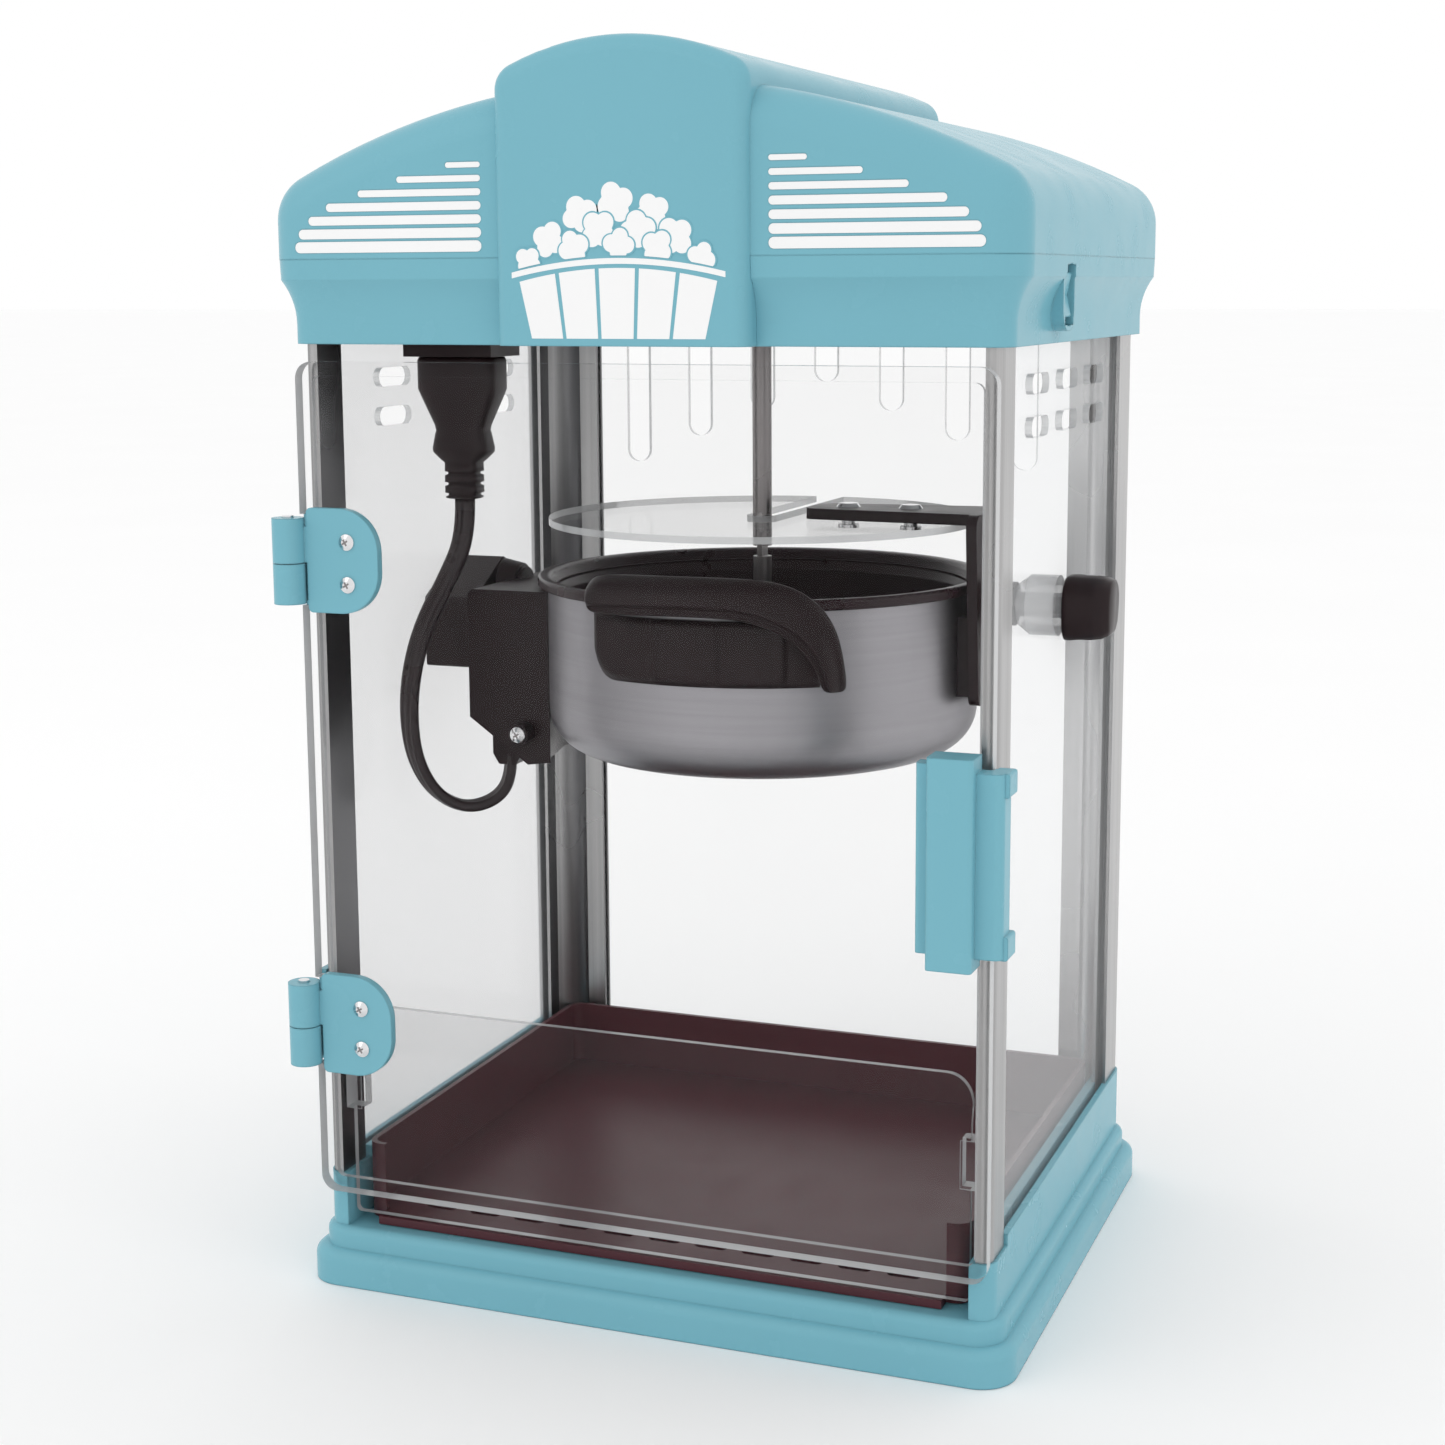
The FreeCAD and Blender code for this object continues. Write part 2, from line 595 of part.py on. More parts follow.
def domed(x, low, apex, arch_r, corner, round_r, y_low, y_high, inset=0):
    """An arched block with the outlines of its front and back faces rounded, except along the bottom."""
    block = arch(x, low, apex, arch_r, corner, y_low + inset, y_high - inset, inset)
    faces = [y_low + inset, y_high - inset]
    outline = [e for e in block.Edges if e.BoundBox.YLength < 1e-6 and e.BoundBox.ZMax > low + 1
               and min(abs(e.BoundBox.YMin - y) for y in faces) < 1e-6]
    return block.makeFillet(round_r - inset, outline)


def hood_lid():
    wall = DIMENSIONS["hood_wall"]
    parting, low = DIMENSIONS["hood_parting"], DIMENSIONS["skirt_low"]
    order = ("x", "apex", "arch_r", "corner", "round", "y")
    lid = [DIMENSIONS["lid_" + key] for key in order]
    crown = [DIMENSIONS["crown_" + key] for key in order]

    def wings(inset):
        bottom = parting - (1 if inset else 0)
        return domed(lid[0], bottom, *lid[1:5], -lid[5], lid[5], inset)

    def raised(inset):
        bottom = low - (1 if inset else 0)
        whole = domed(crown[0], bottom, *crown[1:5], -crown[5], lid[5], inset)
        behind = Part.makeBox(300, 300, 100, Vector(-150, -100, parting - 100))
        return whole.cut(behind)

    shell = doc.addObject("Part::Feature", fresh("lid_shell"))
    outer = wings(0).fuse(raised(0)).removeSplitter()
    inner = wings(wall).fuse(raised(wall)).removeSplitter()
    shell.Shape = outer.cut(inner)
    behind_skirt = box(both(dims.crown_x + 5), (-dims.skirt_y, -90), (low - 5, parting))
    bosses = [rod(4.5, dims.panel_top + dims.floor_thick, 411, x, y) for x, y in LID_BOSSES]
    bores = [rod(1.75, dims.panel_top, 366, x, y) for x, y in LID_BOSSES]
    pockets = louver_bars(0)
    return node("hood_lid", cut(join(shell, *bosses), behind_skirt, parts["hood_skirt"], *bores, *pockets))


def louver_bars(gap):
    """Seven bars on each wing; each ends a little nearer the crown than the one below it."""
    bars = []
    ends = (122.5, 121, 117, 110, 97.5, 82.5, 64)
    tall = (3.8, 3.4, 3.1, 2.9, 2.4, 2.2, 1.9)
    for i, (outer, height) in enumerate(zip(ends, tall)):
        z = dims.louver_low + i * dims.louver_pitch
        half = height / 2 - gap
        for side in (-1, 1):
            xs = sorted([side * (DIMENSIONS["louver_inner"] + gap), side * (outer - gap)])
            bars.append(prism("XZ", rectangle(xs, (z - half, z + half), half - 0.01),
                              -dims.lid_y - (0 if gap else 1), -dims.lid_y + dims.louver_deep))
    return bars


def hood_details():
    node("louver_inlays", group(*louver_bars(0.04)))
    lid_screws = [screw(x, y, dims.panel_top, "z", 3.4, 2, 1.7, 14, facing=-1) for x, y in LID_BOSSES]
    post_screws = [screw(x, y, dims.panel_top + 3, "z", 2.8, 2, 1.5, 14) for x, y in POST_SCREWS]
    motor_screws = [screw(dims.kettle_x + side * MOTOR_FOOT_X, MOTOR_FOOT_Y, 352, "z", 2.8, 1.8, 1.6, 2)
                    for side in (-1, 1)]
    node("hood_screws", group(*lid_screws, *post_screws, *motor_screws))
    sleeve, collar, bore = [rod(r, low, high, x=GLAND_X, z=GLAND_Z, along="y")
                            for r, low, high in ((6.9, 97, 110.5), (9, 96, 98), (3.6, 90, 112))]
    node("mains_gland", cut(join(sleeve, collar), bore))
    x, y = dims.plug_x, dims.plug_y
    block = box((x - 18, x + 18), (y - 12, y + 12), (339, 356))
    flange = box((x - 21, x + 21), (y - 14, y + 14), (350, 352.5))
    node("kettle_outlet", join(block, flange))


def power_switch():
    y, z = dims.switch_y, dims.switch_z
    half_y, half_z = dims.switch_wide / 2, dims.switch_long / 2
    outer = box((112, 131), (y - half_y - 1, y + half_y + 1), (z - half_z - 0.5, z + half_z + 0.5))
    well = box((119, 132), (y - half_y, y + half_y), (z - half_z + 0.4, z + half_z - 0.4))
    pivot_bore = rod(1.55, y - half_y - 2, y + half_y + 2, x=dims.rocker_pivot, z=z, along="y")
    node("switch_body", cut(outer, well, pivot_bore))
    cheek = half_z - 1.7
    face = prism("XZ", [(121.5, z - 4), (129.5, z - cheek, 1), (133.6, z - cheek + 0.4, 0.8), (132, z),
                        (133.6, z + cheek - 0.4, 0.8), (129.5, z + cheek, 1), (121.5, z + 4)],
                 y - half_y + 0.4, y + half_y - 0.4)
    pivot = rod(1.5, y - half_y - 0.9, y + half_y + 0.9, x=dims.rocker_pivot, z=z, along="y")
    node("switch_rocker", join(face, pivot))


# ---------------------------------------------------------------- drive in the hood


def gear_outline(teeth, module, slack):
    """A closed wire of straight-flanked teeth, narrow enough to run with backlash."""
    pitch_r = teeth * module / 2
    outer_r, root_r = pitch_r + 0.95 * module - slack, pitch_r - 1.25 * module
    step = 2 * math.pi / teeth
    points = []
    for i in range(teeth):
        for share, r in ((-0.30, root_r), (-0.115, outer_r), (0.115, outer_r), (0.30, root_r)):
            angle = (i + share) * step
            points.append(Vector(r * math.cos(angle), r * math.sin(angle), 0))
    return Part.makePolygon(points + [points[0]])


def gear(teeth, x, y, low, high, turn, slack):
    wheel = doc.addObject("Part::Feature", fresh("gear"))
    face = Part.Face(gear_outline(teeth, DIMENSIONS["tooth_module"], slack))
    wheel.Shape = face.extrude(Vector(0, 0, high - low))
    wheel.Placement = FreeCAD.Placement(Vector(x, y, low), FreeCAD.Rotation(Vector(0, 0, 1), turn))
    return wheel


def drive():
    x = dims.kettle_x
    z0, z1 = DIMENSIONS["gear_low"], DIMENSIONS["gear_low"] + DIMENSIONS["gear_high"]
    shaft = rod(dims.rod_r, dims.rod_low, dims.gear_low + dims.gear_high, x, 0)
    fork = box((x - dims.fork_wide / 2, x + dims.fork_wide / 2), both(6), (dims.rod_low - 1, dims.fork_roof))
    node("drive_rod", cut(shaft, fork))
    wheel = gear(DIMENSIONS["gear_teeth"], DIMENSIONS["kettle_x"], 0, z0, z1, 0, 0.1)
    hub = rod(8, z0 - 2.5, z0 + 2, x, 0)
    node("drive_gear", cut(join(wheel, hub), rod(dims.rod_r, z0 - 5, z1 + 1, x, 0)))
    y = MOTOR_Y
    half_tooth = 180 / DIMENSIONS["pinion_teeth"]
    pinion = gear(DIMENSIONS["pinion_teeth"], DIMENSIONS["kettle_x"], y, z0, z1, 90 + half_tooth, 0.1)
    node("motor_pinion", join(pinion, rod(2.5, z1, z1 + 14, x, y)))
    motor = cut(join(rod(20, 371, 404, x, y), rod(6, 404, 408, x, y)), rod(2.55, 360, 382, x, y))
    node("motor_body", motor)
    top = box((x - 38, x + 38), (y - 14, y + 22), (368.5, 371))
    sheet_metal, reach, foot = 2.5, 38, 12
    legs = [box(span, (y - 8, y + 22), (350, 369)) for span in
            ((x - reach, x - reach + sheet_metal), (x + reach - sheet_metal, x + reach))]
    feet = [box(span, (y - 8, y + 22), (350, 352)) for span in
            ((x - reach - foot + 1, x - reach + 1), (x + reach - 1, x + reach + foot - 1))]
    holes = [rod(1.7, 340, 360, x + side * MOTOR_FOOT_X, MOTOR_FOOT_Y) for side in (-1, 1)]
    node("motor_bracket", cut(join(top, *legs, *feet), rod(4, 365, 372, x, y), *holes))
    bush = turned([(3.65, 0), (7, 0), (7, 2), (5, 2), (5, 8), (3.65, 8)], x, 0, 345)
    node("rod_bush", bush)


# ---------------------------------------------------------------- door and hinges

def leaf_screw_heights():
    return [getattr(dims, cell) + rise for _, cell in HINGES for rise in LEAF_SCREW_RISE]


def door_panel():
    x = dims.door_x
    outer = prism("XZ", rectangle(both(x), (dims.door_low, dims.door_top), dims.door_round),
                  dims.door_front, dims.door_rim_back)
    rim = dims.door_rim
    inner = prism("XZ", rectangle(both(x - rim), (dims.door_low + rim, dims.door_top - rim), 3),
                  dims.door_front + dims.door_skin, dims.door_rim_back + 1)
    tools = [inner]
    for _, cell in HINGES:
        low = getattr(dims, cell)
        tools.append(box((-x - 1, -x + 4.5), (dims.door_front - 1, dims.door_rim_back + 1),
                         (low - 1, low + dims.barrel_long + 1)))
    tools += [rod(1.75, -110, -104, x=LEAF_SCREW_X, z=z, along="y") for z in leaf_screw_heights()]
    tools += [rod(1.75, -110, -104, x=HANDLE_SCREW_X, z=z, along="y") for z in HANDLE_SCREW_Z]
    return node("door_panel", cut(outer, *tools))


def hinges():
    hx, hy, r = dims.hinge_x, dims.hinge_y, dims.barrel_r
    pins = []
    for name, cell in HINGES:
        low = getattr(dims, cell)
        split = low + dims.knuckle_split
        top = low + dims.barrel_long
        outline = [(-121.8, low - 3, 2), (-93.6, low - 3, 15), (-93.6, low + 34, 15), (-121.8, low + 34, 2)]
        leaf = prism("XZ", outline, dims.door_front - dims.leaf_thick, dims.door_front)
        neck = box((hx, -121), (dims.door_front - dims.leaf_thick, dims.door_front), (split + 0.4, top - 3))
        knuckle = rod(r, split + 0.3, top, hx, hy)
        bores = [rod(dims.pin_r + 0.05, low - 5, top + 5, hx, hy)]
        bores += [rod(1.75, -113, -107, x=LEAF_SCREW_X, z=low + rise, along="y") for rise in LEAF_SCREW_RISE]
        node(name + "_hinge_leaf", cut(join(leaf, neck, knuckle), *bores))
        arm = box((-131, -126.8), (hy, -100), (low, split))
        plate = box((-129, -126), (-100.5, -84), (low - 2, low + 32))
        lower_knuckle = rod(r, low, split, hx, hy)
        holes = [rod(1.3, -130, -125, y=BRACKET_SCREW_Y, z=low + rise, along="x")
                 for rise in BRACKET_SCREW_RISE]
        pin_bore = rod(dims.pin_r, low - 1, top, hx, hy)
        node(name + "_hinge_bracket", cut(join(arm, plate, lower_knuckle), pin_bore, *holes))
        pins.append(rod(dims.pin_r, low + 0.5, top + 0.8, hx, hy))
    node("hinge_pins", group(*pins))
    nut_y = dims.door_front + dims.door_skin
    nuts = [cut(rod(3.2, nut_y, nut_y + 1.9, x=LEAF_SCREW_X, z=z, along="y"),
                rod(1.65, nut_y - 1, nut_y + 3, x=LEAF_SCREW_X, z=z, along="y")) for z in leaf_screw_heights()]
    node("leaf_nuts", group(*nuts))
    bracket_screws = [screw(-129, BRACKET_SCREW_Y, z, "x", 2.6, 1.3, 1.25, 5.5, -1) for z in BRACKET_SCREW_Z]
    hanger_screws = [screw(-124.5, y, z, "x", 3.6, 1.8, 1.8, 13, -1) for y, z in HANGER_SCREWS]
    node("bracket_screws", group(*bracket_screws, *hanger_screws))


def door_handle():
    low, top, front = dims.handle_low, dims.handle_top, dims.handle_front
    face = dims.door_front
    left = prism("XY", [(102, face), (102, front + 5.5, 1.5), (109, front + 5.5), (109, face)], low + 4, top - 3)
    rib = prism("XY", [(107, face), (107, front, 1.5), (122.5, front, 1.5), (122.5, face)], low, top)
    right = prism("XY", [(121, face), (121, front + 4.5), (131.5, front + 4.5, 3), (131.5, face)],
                  low + 4, top - 5)
    side = box((126.4, 131.5), (face, face + 2.5), (low + 4, top - 5))
    tabs = [prism("XZ", rectangle((126.4, 133), (z, z + 8), 1), front + 7, dims.door_rim_back)
            for z in (low + 3.5, top - 13)]
    bores = [rod(1.4, face - 8, face + 1, x=HANDLE_SCREW_X, z=z, along="y") for z in HANDLE_SCREW_Z]
    node("door_handle", cut(join(left, rib, right, side, *tabs), *bores))
    handle_screws = [screw(HANDLE_SCREW_X, face + dims.door_skin, z, "y", 2.8, 1.6, 1.35, 9)
                     for z in HANDLE_SCREW_Z]
    leaf_screws = [screw(LEAF_SCREW_X, face - dims.leaf_thick, z, "y", 3, 1.5, 1.65, 6.5, -1)
                   for z in leaf_screw_heights()]
    node("door_screws", group(*handle_screws, *leaf_screws))


def front_guard():
    y, thick, lean = dims.guard_front, dims.guard_thick, dims.guard_lean
    side = prism("YZ", [(y, dims.guard_low), (y + thick, dims.guard_low), (y + thick, dims.guard_bend),
                        (y + thick + lean, dims.guard_top), (y + lean, dims.guard_top), (y, dims.guard_bend)],
                 -dims.guard_x, dims.guard_x)
    mask = prism("XZ", [(-dims.guard_x, dims.guard_low, 2), (dims.guard_x, dims.guard_low, 2),
                        (dims.guard_x, dims.guard_top, 10), (-dims.guard_x, dims.guard_top, 10)], -120, -60)
    tabs = [box(sorted([s * 114, s * 120]), (y - 0.8, -91), (65, 82)) for s in (-1, 1)]
    return node("front_guard", join(common(side, mask), *tabs))


# ---------------------------------------------------------------- kettle


def kettle():
    x, r, wall = dims.kettle_x, dims.kettle_r, dims.kettle_wall
    low, top = dims.kettle_low, dims.kettle_top
    node("kettle_shell", turned([(0, low), (r, low, dims.kettle_round), (r, top), (r - wall, top),
                                 (r - wall, low + wall, dims.kettle_round - wall), (0, low + wall)], x))
    floor = dims.liner_floor
    liner = [(0, floor - wall), (dims.liner_r + wall, floor - wall, 9), (dims.liner_r + wall, top),
             (dims.rim_r, top, 1), (dims.rim_r, dims.rim_top, 1.2), (dims.liner_r + 4, dims.rim_top, 3),
             (dims.liner_r, top - 4, 2), (dims.liner_r, floor, 7.5), (0, floor)]
    node("kettle_liner", turned(liner, x))
    ring = doc.addObject("Part::Torus", "heater_torus")
    ring.Radius1 = 52
    ring.Radius2 = 3.5
    place(ring, x, 0, floor - wall - 3.5)
    node("heater_ring", ring)
    node("thermostat", rod(8, floor - wall - 8, floor - wall, x - 22, 0))
    bush = turned([(0, 0), (9, 0), (9, 2), (6, 3), (6, 8), (3.55, 8), (3.55, 2), (0, 2)], x, 0, floor)
    node("stirrer_bush", bush)


def stirrer():
    x = dims.kettle_x
    floor = dims.liner_floor
    shaft = rod(dims.shaft_r, floor + 2.2, dims.shaft_top, x, 0)
    half = dims.blade_thick / 2
    blade = box((x - half, x + half), both(3.2), (dims.shaft_top - 1, 278))
    node("stirrer_shaft", join(shaft, blade))
    hub = cut(rod(6, floor + 9, floor + 17, x, 0), rod(dims.shaft_r, floor, floor + 30, x, 0))
    arms = [rod(1.5, low, high, z=floor + 13, along="x") for low, high in ((x + 5, x + 62), (x - 62, x - 5))]
    tips = [rod(1.5, floor + 3, floor + 13.5, x + side * 61) for side in (-1, 1)]
    node("stirrer_arms", join(hub, *arms, *tips))


def kettle_cover():
    x, r = dims.kettle_x, dims.cover_r
    low, high = dims.cover_low, dims.cover_low + dims.cover_thick
    disc = rod(r, low, high, x, 0)
    half = dims.cover_slot / 2
    slot = join(box((x - half, x + half), (0, r + 1), (low - 1, high + 1)), rod(half, low - 1, high + 1, x))
    rivet_holes = [rod(2.5, low - 1, high + 1, rx, 0) for rx in RIVETS]
    node("kettle_cover", cut(disc, slot, *rivet_holes))


def kettle_bracket():
    x0, thick = dims.bracket_x, dims.bracket_thick
    x1 = x0 + thick
    arm_top = dims.arm_low + dims.arm_thick
    plate = prism("YZ", [(-17, 214, 4), (17, 214, 4), (23, arm_top, 5), (-23, arm_top, 5)], x0, x1)
    arm = prism("XY", [(28, -11, 5), (x1, -17), (x1, 17), (28, 11, 5)], dims.arm_low, arm_top)
    pad = cut(box((84, x0 + 1), both(14), (217, 246)), rod(dims.kettle_r + 0.02, 200, 260, dims.kettle_x, 0))
    boss = rod(8, x1 - 1, 106, z=dims.tilt_z, along="x")
    socket = box((98.4, 107), both(3.2), (dims.tilt_z - 3.2, dims.tilt_z + 3.2))
    bolt_holes = [rod(2, 90, x1 + 1, y=y, z=KETTLE_BOLT_Z, along="x") for y in KETTLE_BOLT_Y]
    bolt_holes += [rod(1.5, 84, 92, y=y, z=KETTLE_BOLT_Z, along="x") for y in KETTLE_BOLT_Y]
    rivet_holes = [rod(2.5, dims.arm_low - 1, arm_top + 1, rx, 0) for rx in RIVETS]
    node("kettle_bracket", cut(join(plate, arm, pad, boss), socket, *bolt_holes, *rivet_holes))
    node("kettle_bolts", group(*[screw(x1, y, KETTLE_BOLT_Z, "x", 3.6, 2, 1.45, 7) for y in KETTLE_BOLT_Y]))
    rivets = [join(rod(2.5, dims.cover_low, arm_top, rx), cone(4.5, 3.4, arm_top, arm_top + 1.4, rx),
                   rod(4, dims.cover_low - 1.2, dims.cover_low, rx)) for rx in RIVETS]
    node("cover_rivets", group(*rivets))


def kettle_grip():
    """A ribbed plate against the kettle's wall, and a band that stands off it to be held."""
    x, r = dims.kettle_x, dims.kettle_r
    wall = rod(r + 0.1, 200, 262, x)
    rim = rod(dims.rim_r + 0.3, 240, 264, x)
    plate = common(cut(rod(r + 3, 226, 251, x), wall), box((-24, 62), (-100, -40), (227, 250.8)))
    rib_blocks = [box((rib - 0.8, rib + 0.8), (-88, -60), (228, 250)) for rib in (-2, 20, 42)]
    ribs = common(cut(join(*rib_blocks), wall), rod(r + 4.5, 226, 251, x))
    node("grip_plate", cut(join(plate, ribs), rod(dims.rim_r + 0.3, 253.9, 264, x)))

    reach = rod(dims.grip_r, 220, 270, x)
    inside = rod(dims.grip_r - dims.grip_deep, 215, 275, x)
    outline = prism("XZ", [(-28, 251, 2), (30, 251), (50, 246, 12), (64, 232), (72, 228.5, 2), (75, 236),
                           (62, 258, 16), (30, 267, 14), (-26, 263, 3)], -99, -60)
    band = cut(common(outline, reach), inside)
    bridge = common(cut(box((-28, -12), (-98, -60), (247, 262)), rim), reach)
    foot = common(cut(box((-26, -12), (-98, -60), (238, 250)), rod(r + 3.2, 220, 264, x)), reach)
    node("grip_band", join(band, bridge, foot))


def connector_housing():
    x, r = dims.kettle_x, dims.kettle_r
    body = prism("XZ", [(-96, 203), (-96, 252, 3), (-58, 252), (-58, 188), (-72, 186)], -40, 20)
    stub = rod(dims.stub_r, -118, -90, z=dims.tilt_z, along="x")
    neck = cone(9, 7.5, -99.5, -92, z=dims.tilt_z, along="x")
    screw_x, screw_z = -73, 198.5
    barrel = rod(4, -46, -34, x=screw_x, z=screw_z, along="y")
    room = [rod(r + 0.05, 170, 262, x), rod(dims.rim_r + 0.3, 253.8, 270, x),
            rod(1.6, -48, -30, x=screw_x, z=screw_z, along="y"), box((-90, -78), (-33.4, -26.6), (180, 206))]
    node("connector_housing", cut(join(body, stub, neck, barrel), *room))
    node("housing_screw", screw(screw_x, -46, screw_z, "y", 3.1, 1.8, 1.55, 10, -1))
    lead_x, lead_y, lead_z = LEAD[0]
    sleeve = prism("XZ", [(-89.9, 205), (-89.9, 188), (-87.5, 184, 1), (-80.5, 184, 1), (-78.1, 188),
                          (-78.1, 205)], -33.3, -26.7)
    node("strain_relief", cut(sleeve, rod(dims.lead_r, 170, lead_z, lead_x, lead_y)))


def hanger():
    z = dims.tilt_z
    body = prism("YZ", [(-25, 219, 1.5), (22, 219, 1.5), (22, z, 1.5), (0, 260, 2), (-25, 246, 1.5)],
                 dims.hanger_out, dims.hanger_in)
    bore = rod(dims.stub_r + 0.06, dims.hanger_out - 1, dims.hanger_in + 1, z=z, along="x")
    screw_bores = [rod(1.85, -123, -110, y=y, z=sz, along="x") for y, sz in HANGER_SCREWS]
    node("hanger_bracket", cut(body, bore, *screw_bores))


def tilt_knob():
    z = dims.tilt_z
    bush = cut(join(rod(dims.bush_r, dims.bush_in + 4, 122, z=z, along="x"),
                    cone(8, dims.bush_r, dims.bush_in, dims.bush_in + 4.01, z=z, along="x")),
               rod(dims.knob_shaft_r + 0.05, 100, 123, z=z, along="x"))
    node("knob_bush", bush)
    half = dims.knob_square
    square = box((98.8, 107), both(half), (z - half, z + half))
    node("knob_shaft", join(rod(dims.knob_shaft_r, 106.4, 132, z=z, along="x"), square))
    outline = [(-8, z - 11.3, 3), (4, z - 11.3, 4), (9.5, z - 4, 4), (10.5, z + 5, 4), (6, z + 11, 4),
               (-5, z + 11, 4), (-11, z + 4, 4), (-11, z - 5, 4)]
    grip = prism("YZ", outline, dims.knob_in, dims.knob_out)
    node("knob_grip", cut(grip, rod(dims.knob_shaft_r, 120, 132, z=z, along="x")))


# ---------------------------------------------------------------- heater lead

def lead():
    points = [Vector(*p) for p in LEAD]
    runs = [(b - a).Length for a, b in zip(points, points[1:])]
    pieces = []
    radii = []
    at = points[0]
    length = 0
    for i in range(1, len(points) - 1):
        before, here, after = points[i - 1:i + 2]
        turn = (here - before).getAngle(after - here)
        reach = 0.45 * min(runs[i - 1], runs[i])
        radius = reach / math.tan(turn / 2)
        start, end, centre = corner_arc(here, before, after, radius)
        pieces.append(Part.LineSegment(at, start).toShape())
        pieces.append(Part.Arc(start, centre + (here - centre).normalize() * radius, end).toShape())
        length += (start - at).Length + radius * turn
        radii.append(radius)
        at = end
    pieces.append(Part.LineSegment(at, points[-1]).toShape())
    length += (points[-1] - at).Length
    path = Part.Wire(pieces)
    across = Part.Wire([Part.Circle(points[0], points[1] - points[0], DIMENSIONS["lead_r"]).toShape()])
    tube = path.makePipeShell([across], True, False)
    made = doc.addObject("Part::Feature", "lead_tube")
    made.Shape = tube
    node("kettle_lead", made)
    section = math.pi * DIMENSIONS["lead_r"] ** 2
    print("lead: length %.1f mm, volume %.0f mm3, section x length %.0f mm3"
          % (length, tube.Volume, section * length))
    print("lead radii:", " ".join("%.0f" % r for r in radii))
    print("lead runs:", " ".join("%.0f" % r for r in runs))


def lead_plug():
    x, y = dims.plug_x, dims.plug_y
    top, neck, foot = 338.8, 300, 286
    half = [(16, top, 1), (16, 326, 3), (8, 311), (11, 309, 1), (11, 303, 1), (6.5, neck), (6.5, foot, 1)]
    left = [(x - point[0],) + point[1:] for point in half]
    right = [(x + point[0],) + point[1:] for point in reversed(half)]
    body = prism("XZ", left + right, y - 8, y + 8)
    half_deep = [(8, top, 1), (8, 326, 3), (6, 310), (5, neck), (5, foot)]
    front = [(y - point[0],) + point[1:] for point in half_deep]
    back = [(y + point[0],) + point[1:] for point in reversed(half_deep)]
    node("lead_plug", common(body, prism("YZ", front + back, x - 20, x + 20)))


# ---------------------------------------------------------------- build everything

base_shell()
base_plate()
tray()
posts()
panels()
hood_skirt()
hood_floor()
hood_lid()
hood_details()
power_switch()
drive()
door_panel()
hinges()
door_handle()
front_guard()
kettle()
stirrer()
kettle_cover()
kettle_bracket()
kettle_grip()
connector_housing()
hanger()
tilt_knob()
lead()
lead_plug()

doc.recompute()
faults = ["%s: %s" % (thing.Label, thing.State) for thing in doc.Objects
          if "Invalid" in thing.State or "Error" in thing.State]
for label, thing in parts.items():
    shape = thing.Shape
    if shape.isNull() or not shape.isValid() or not shape.Solids:
        faults.append("%s: bad shape" % label)
if faults:
    raise SystemExit("\n".join(faults))
os.makedirs("parts", exist_ok=True)
for label, thing in parts.items():
    thing.Shape.exportStep("parts/%s.step" % label)
print("nodes: %d" % len(parts))
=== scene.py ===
import json
import math

import bmesh
import bpy
from mathutils import Matrix, Vector


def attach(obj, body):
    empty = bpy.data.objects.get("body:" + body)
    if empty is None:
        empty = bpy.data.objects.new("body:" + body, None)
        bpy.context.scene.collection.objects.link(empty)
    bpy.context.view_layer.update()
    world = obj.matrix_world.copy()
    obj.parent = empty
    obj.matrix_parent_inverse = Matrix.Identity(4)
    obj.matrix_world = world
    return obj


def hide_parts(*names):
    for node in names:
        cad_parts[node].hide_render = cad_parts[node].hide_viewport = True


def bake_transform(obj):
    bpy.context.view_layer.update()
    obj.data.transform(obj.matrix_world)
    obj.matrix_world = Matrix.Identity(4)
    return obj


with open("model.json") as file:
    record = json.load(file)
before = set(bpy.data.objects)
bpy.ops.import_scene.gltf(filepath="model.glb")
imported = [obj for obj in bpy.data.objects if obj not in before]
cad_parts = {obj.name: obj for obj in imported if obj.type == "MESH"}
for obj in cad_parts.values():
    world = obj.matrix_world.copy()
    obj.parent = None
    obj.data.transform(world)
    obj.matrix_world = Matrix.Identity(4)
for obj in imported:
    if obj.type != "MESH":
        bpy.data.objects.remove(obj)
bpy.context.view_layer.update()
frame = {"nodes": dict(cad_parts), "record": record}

MM = 0.001
NODES = frame["nodes"]
scene = bpy.context.scene

# ---------------------------------------------------------------- colours (linear)

BLUE = (0.188, 0.450, 0.536)
DARK = (0.0165, 0.0082, 0.0095)
DARK_RIM = (0.022, 0.0100, 0.0125)
MAROON = (0.085, 0.024, 0.031)
WHITE_INK = (0.90, 0.90, 0.90)
POST_GREY = (0.43, 0.426, 0.426)
# painted shade: a darker grey for the posts' inner faces, where they fall in shade
POST_SHADE = (0.15, 0.15, 0.155)
KETTLE_GREY = (0.37, 0.36, 0.38)
CHROME = (0.74, 0.74, 0.75)
STEEL = (0.24, 0.225, 0.225)
SHEET_GREY = (0.50, 0.51, 0.52)
NYLON = (0.70, 0.68, 0.62)


# ---------------------------------------------------------------- node helpers

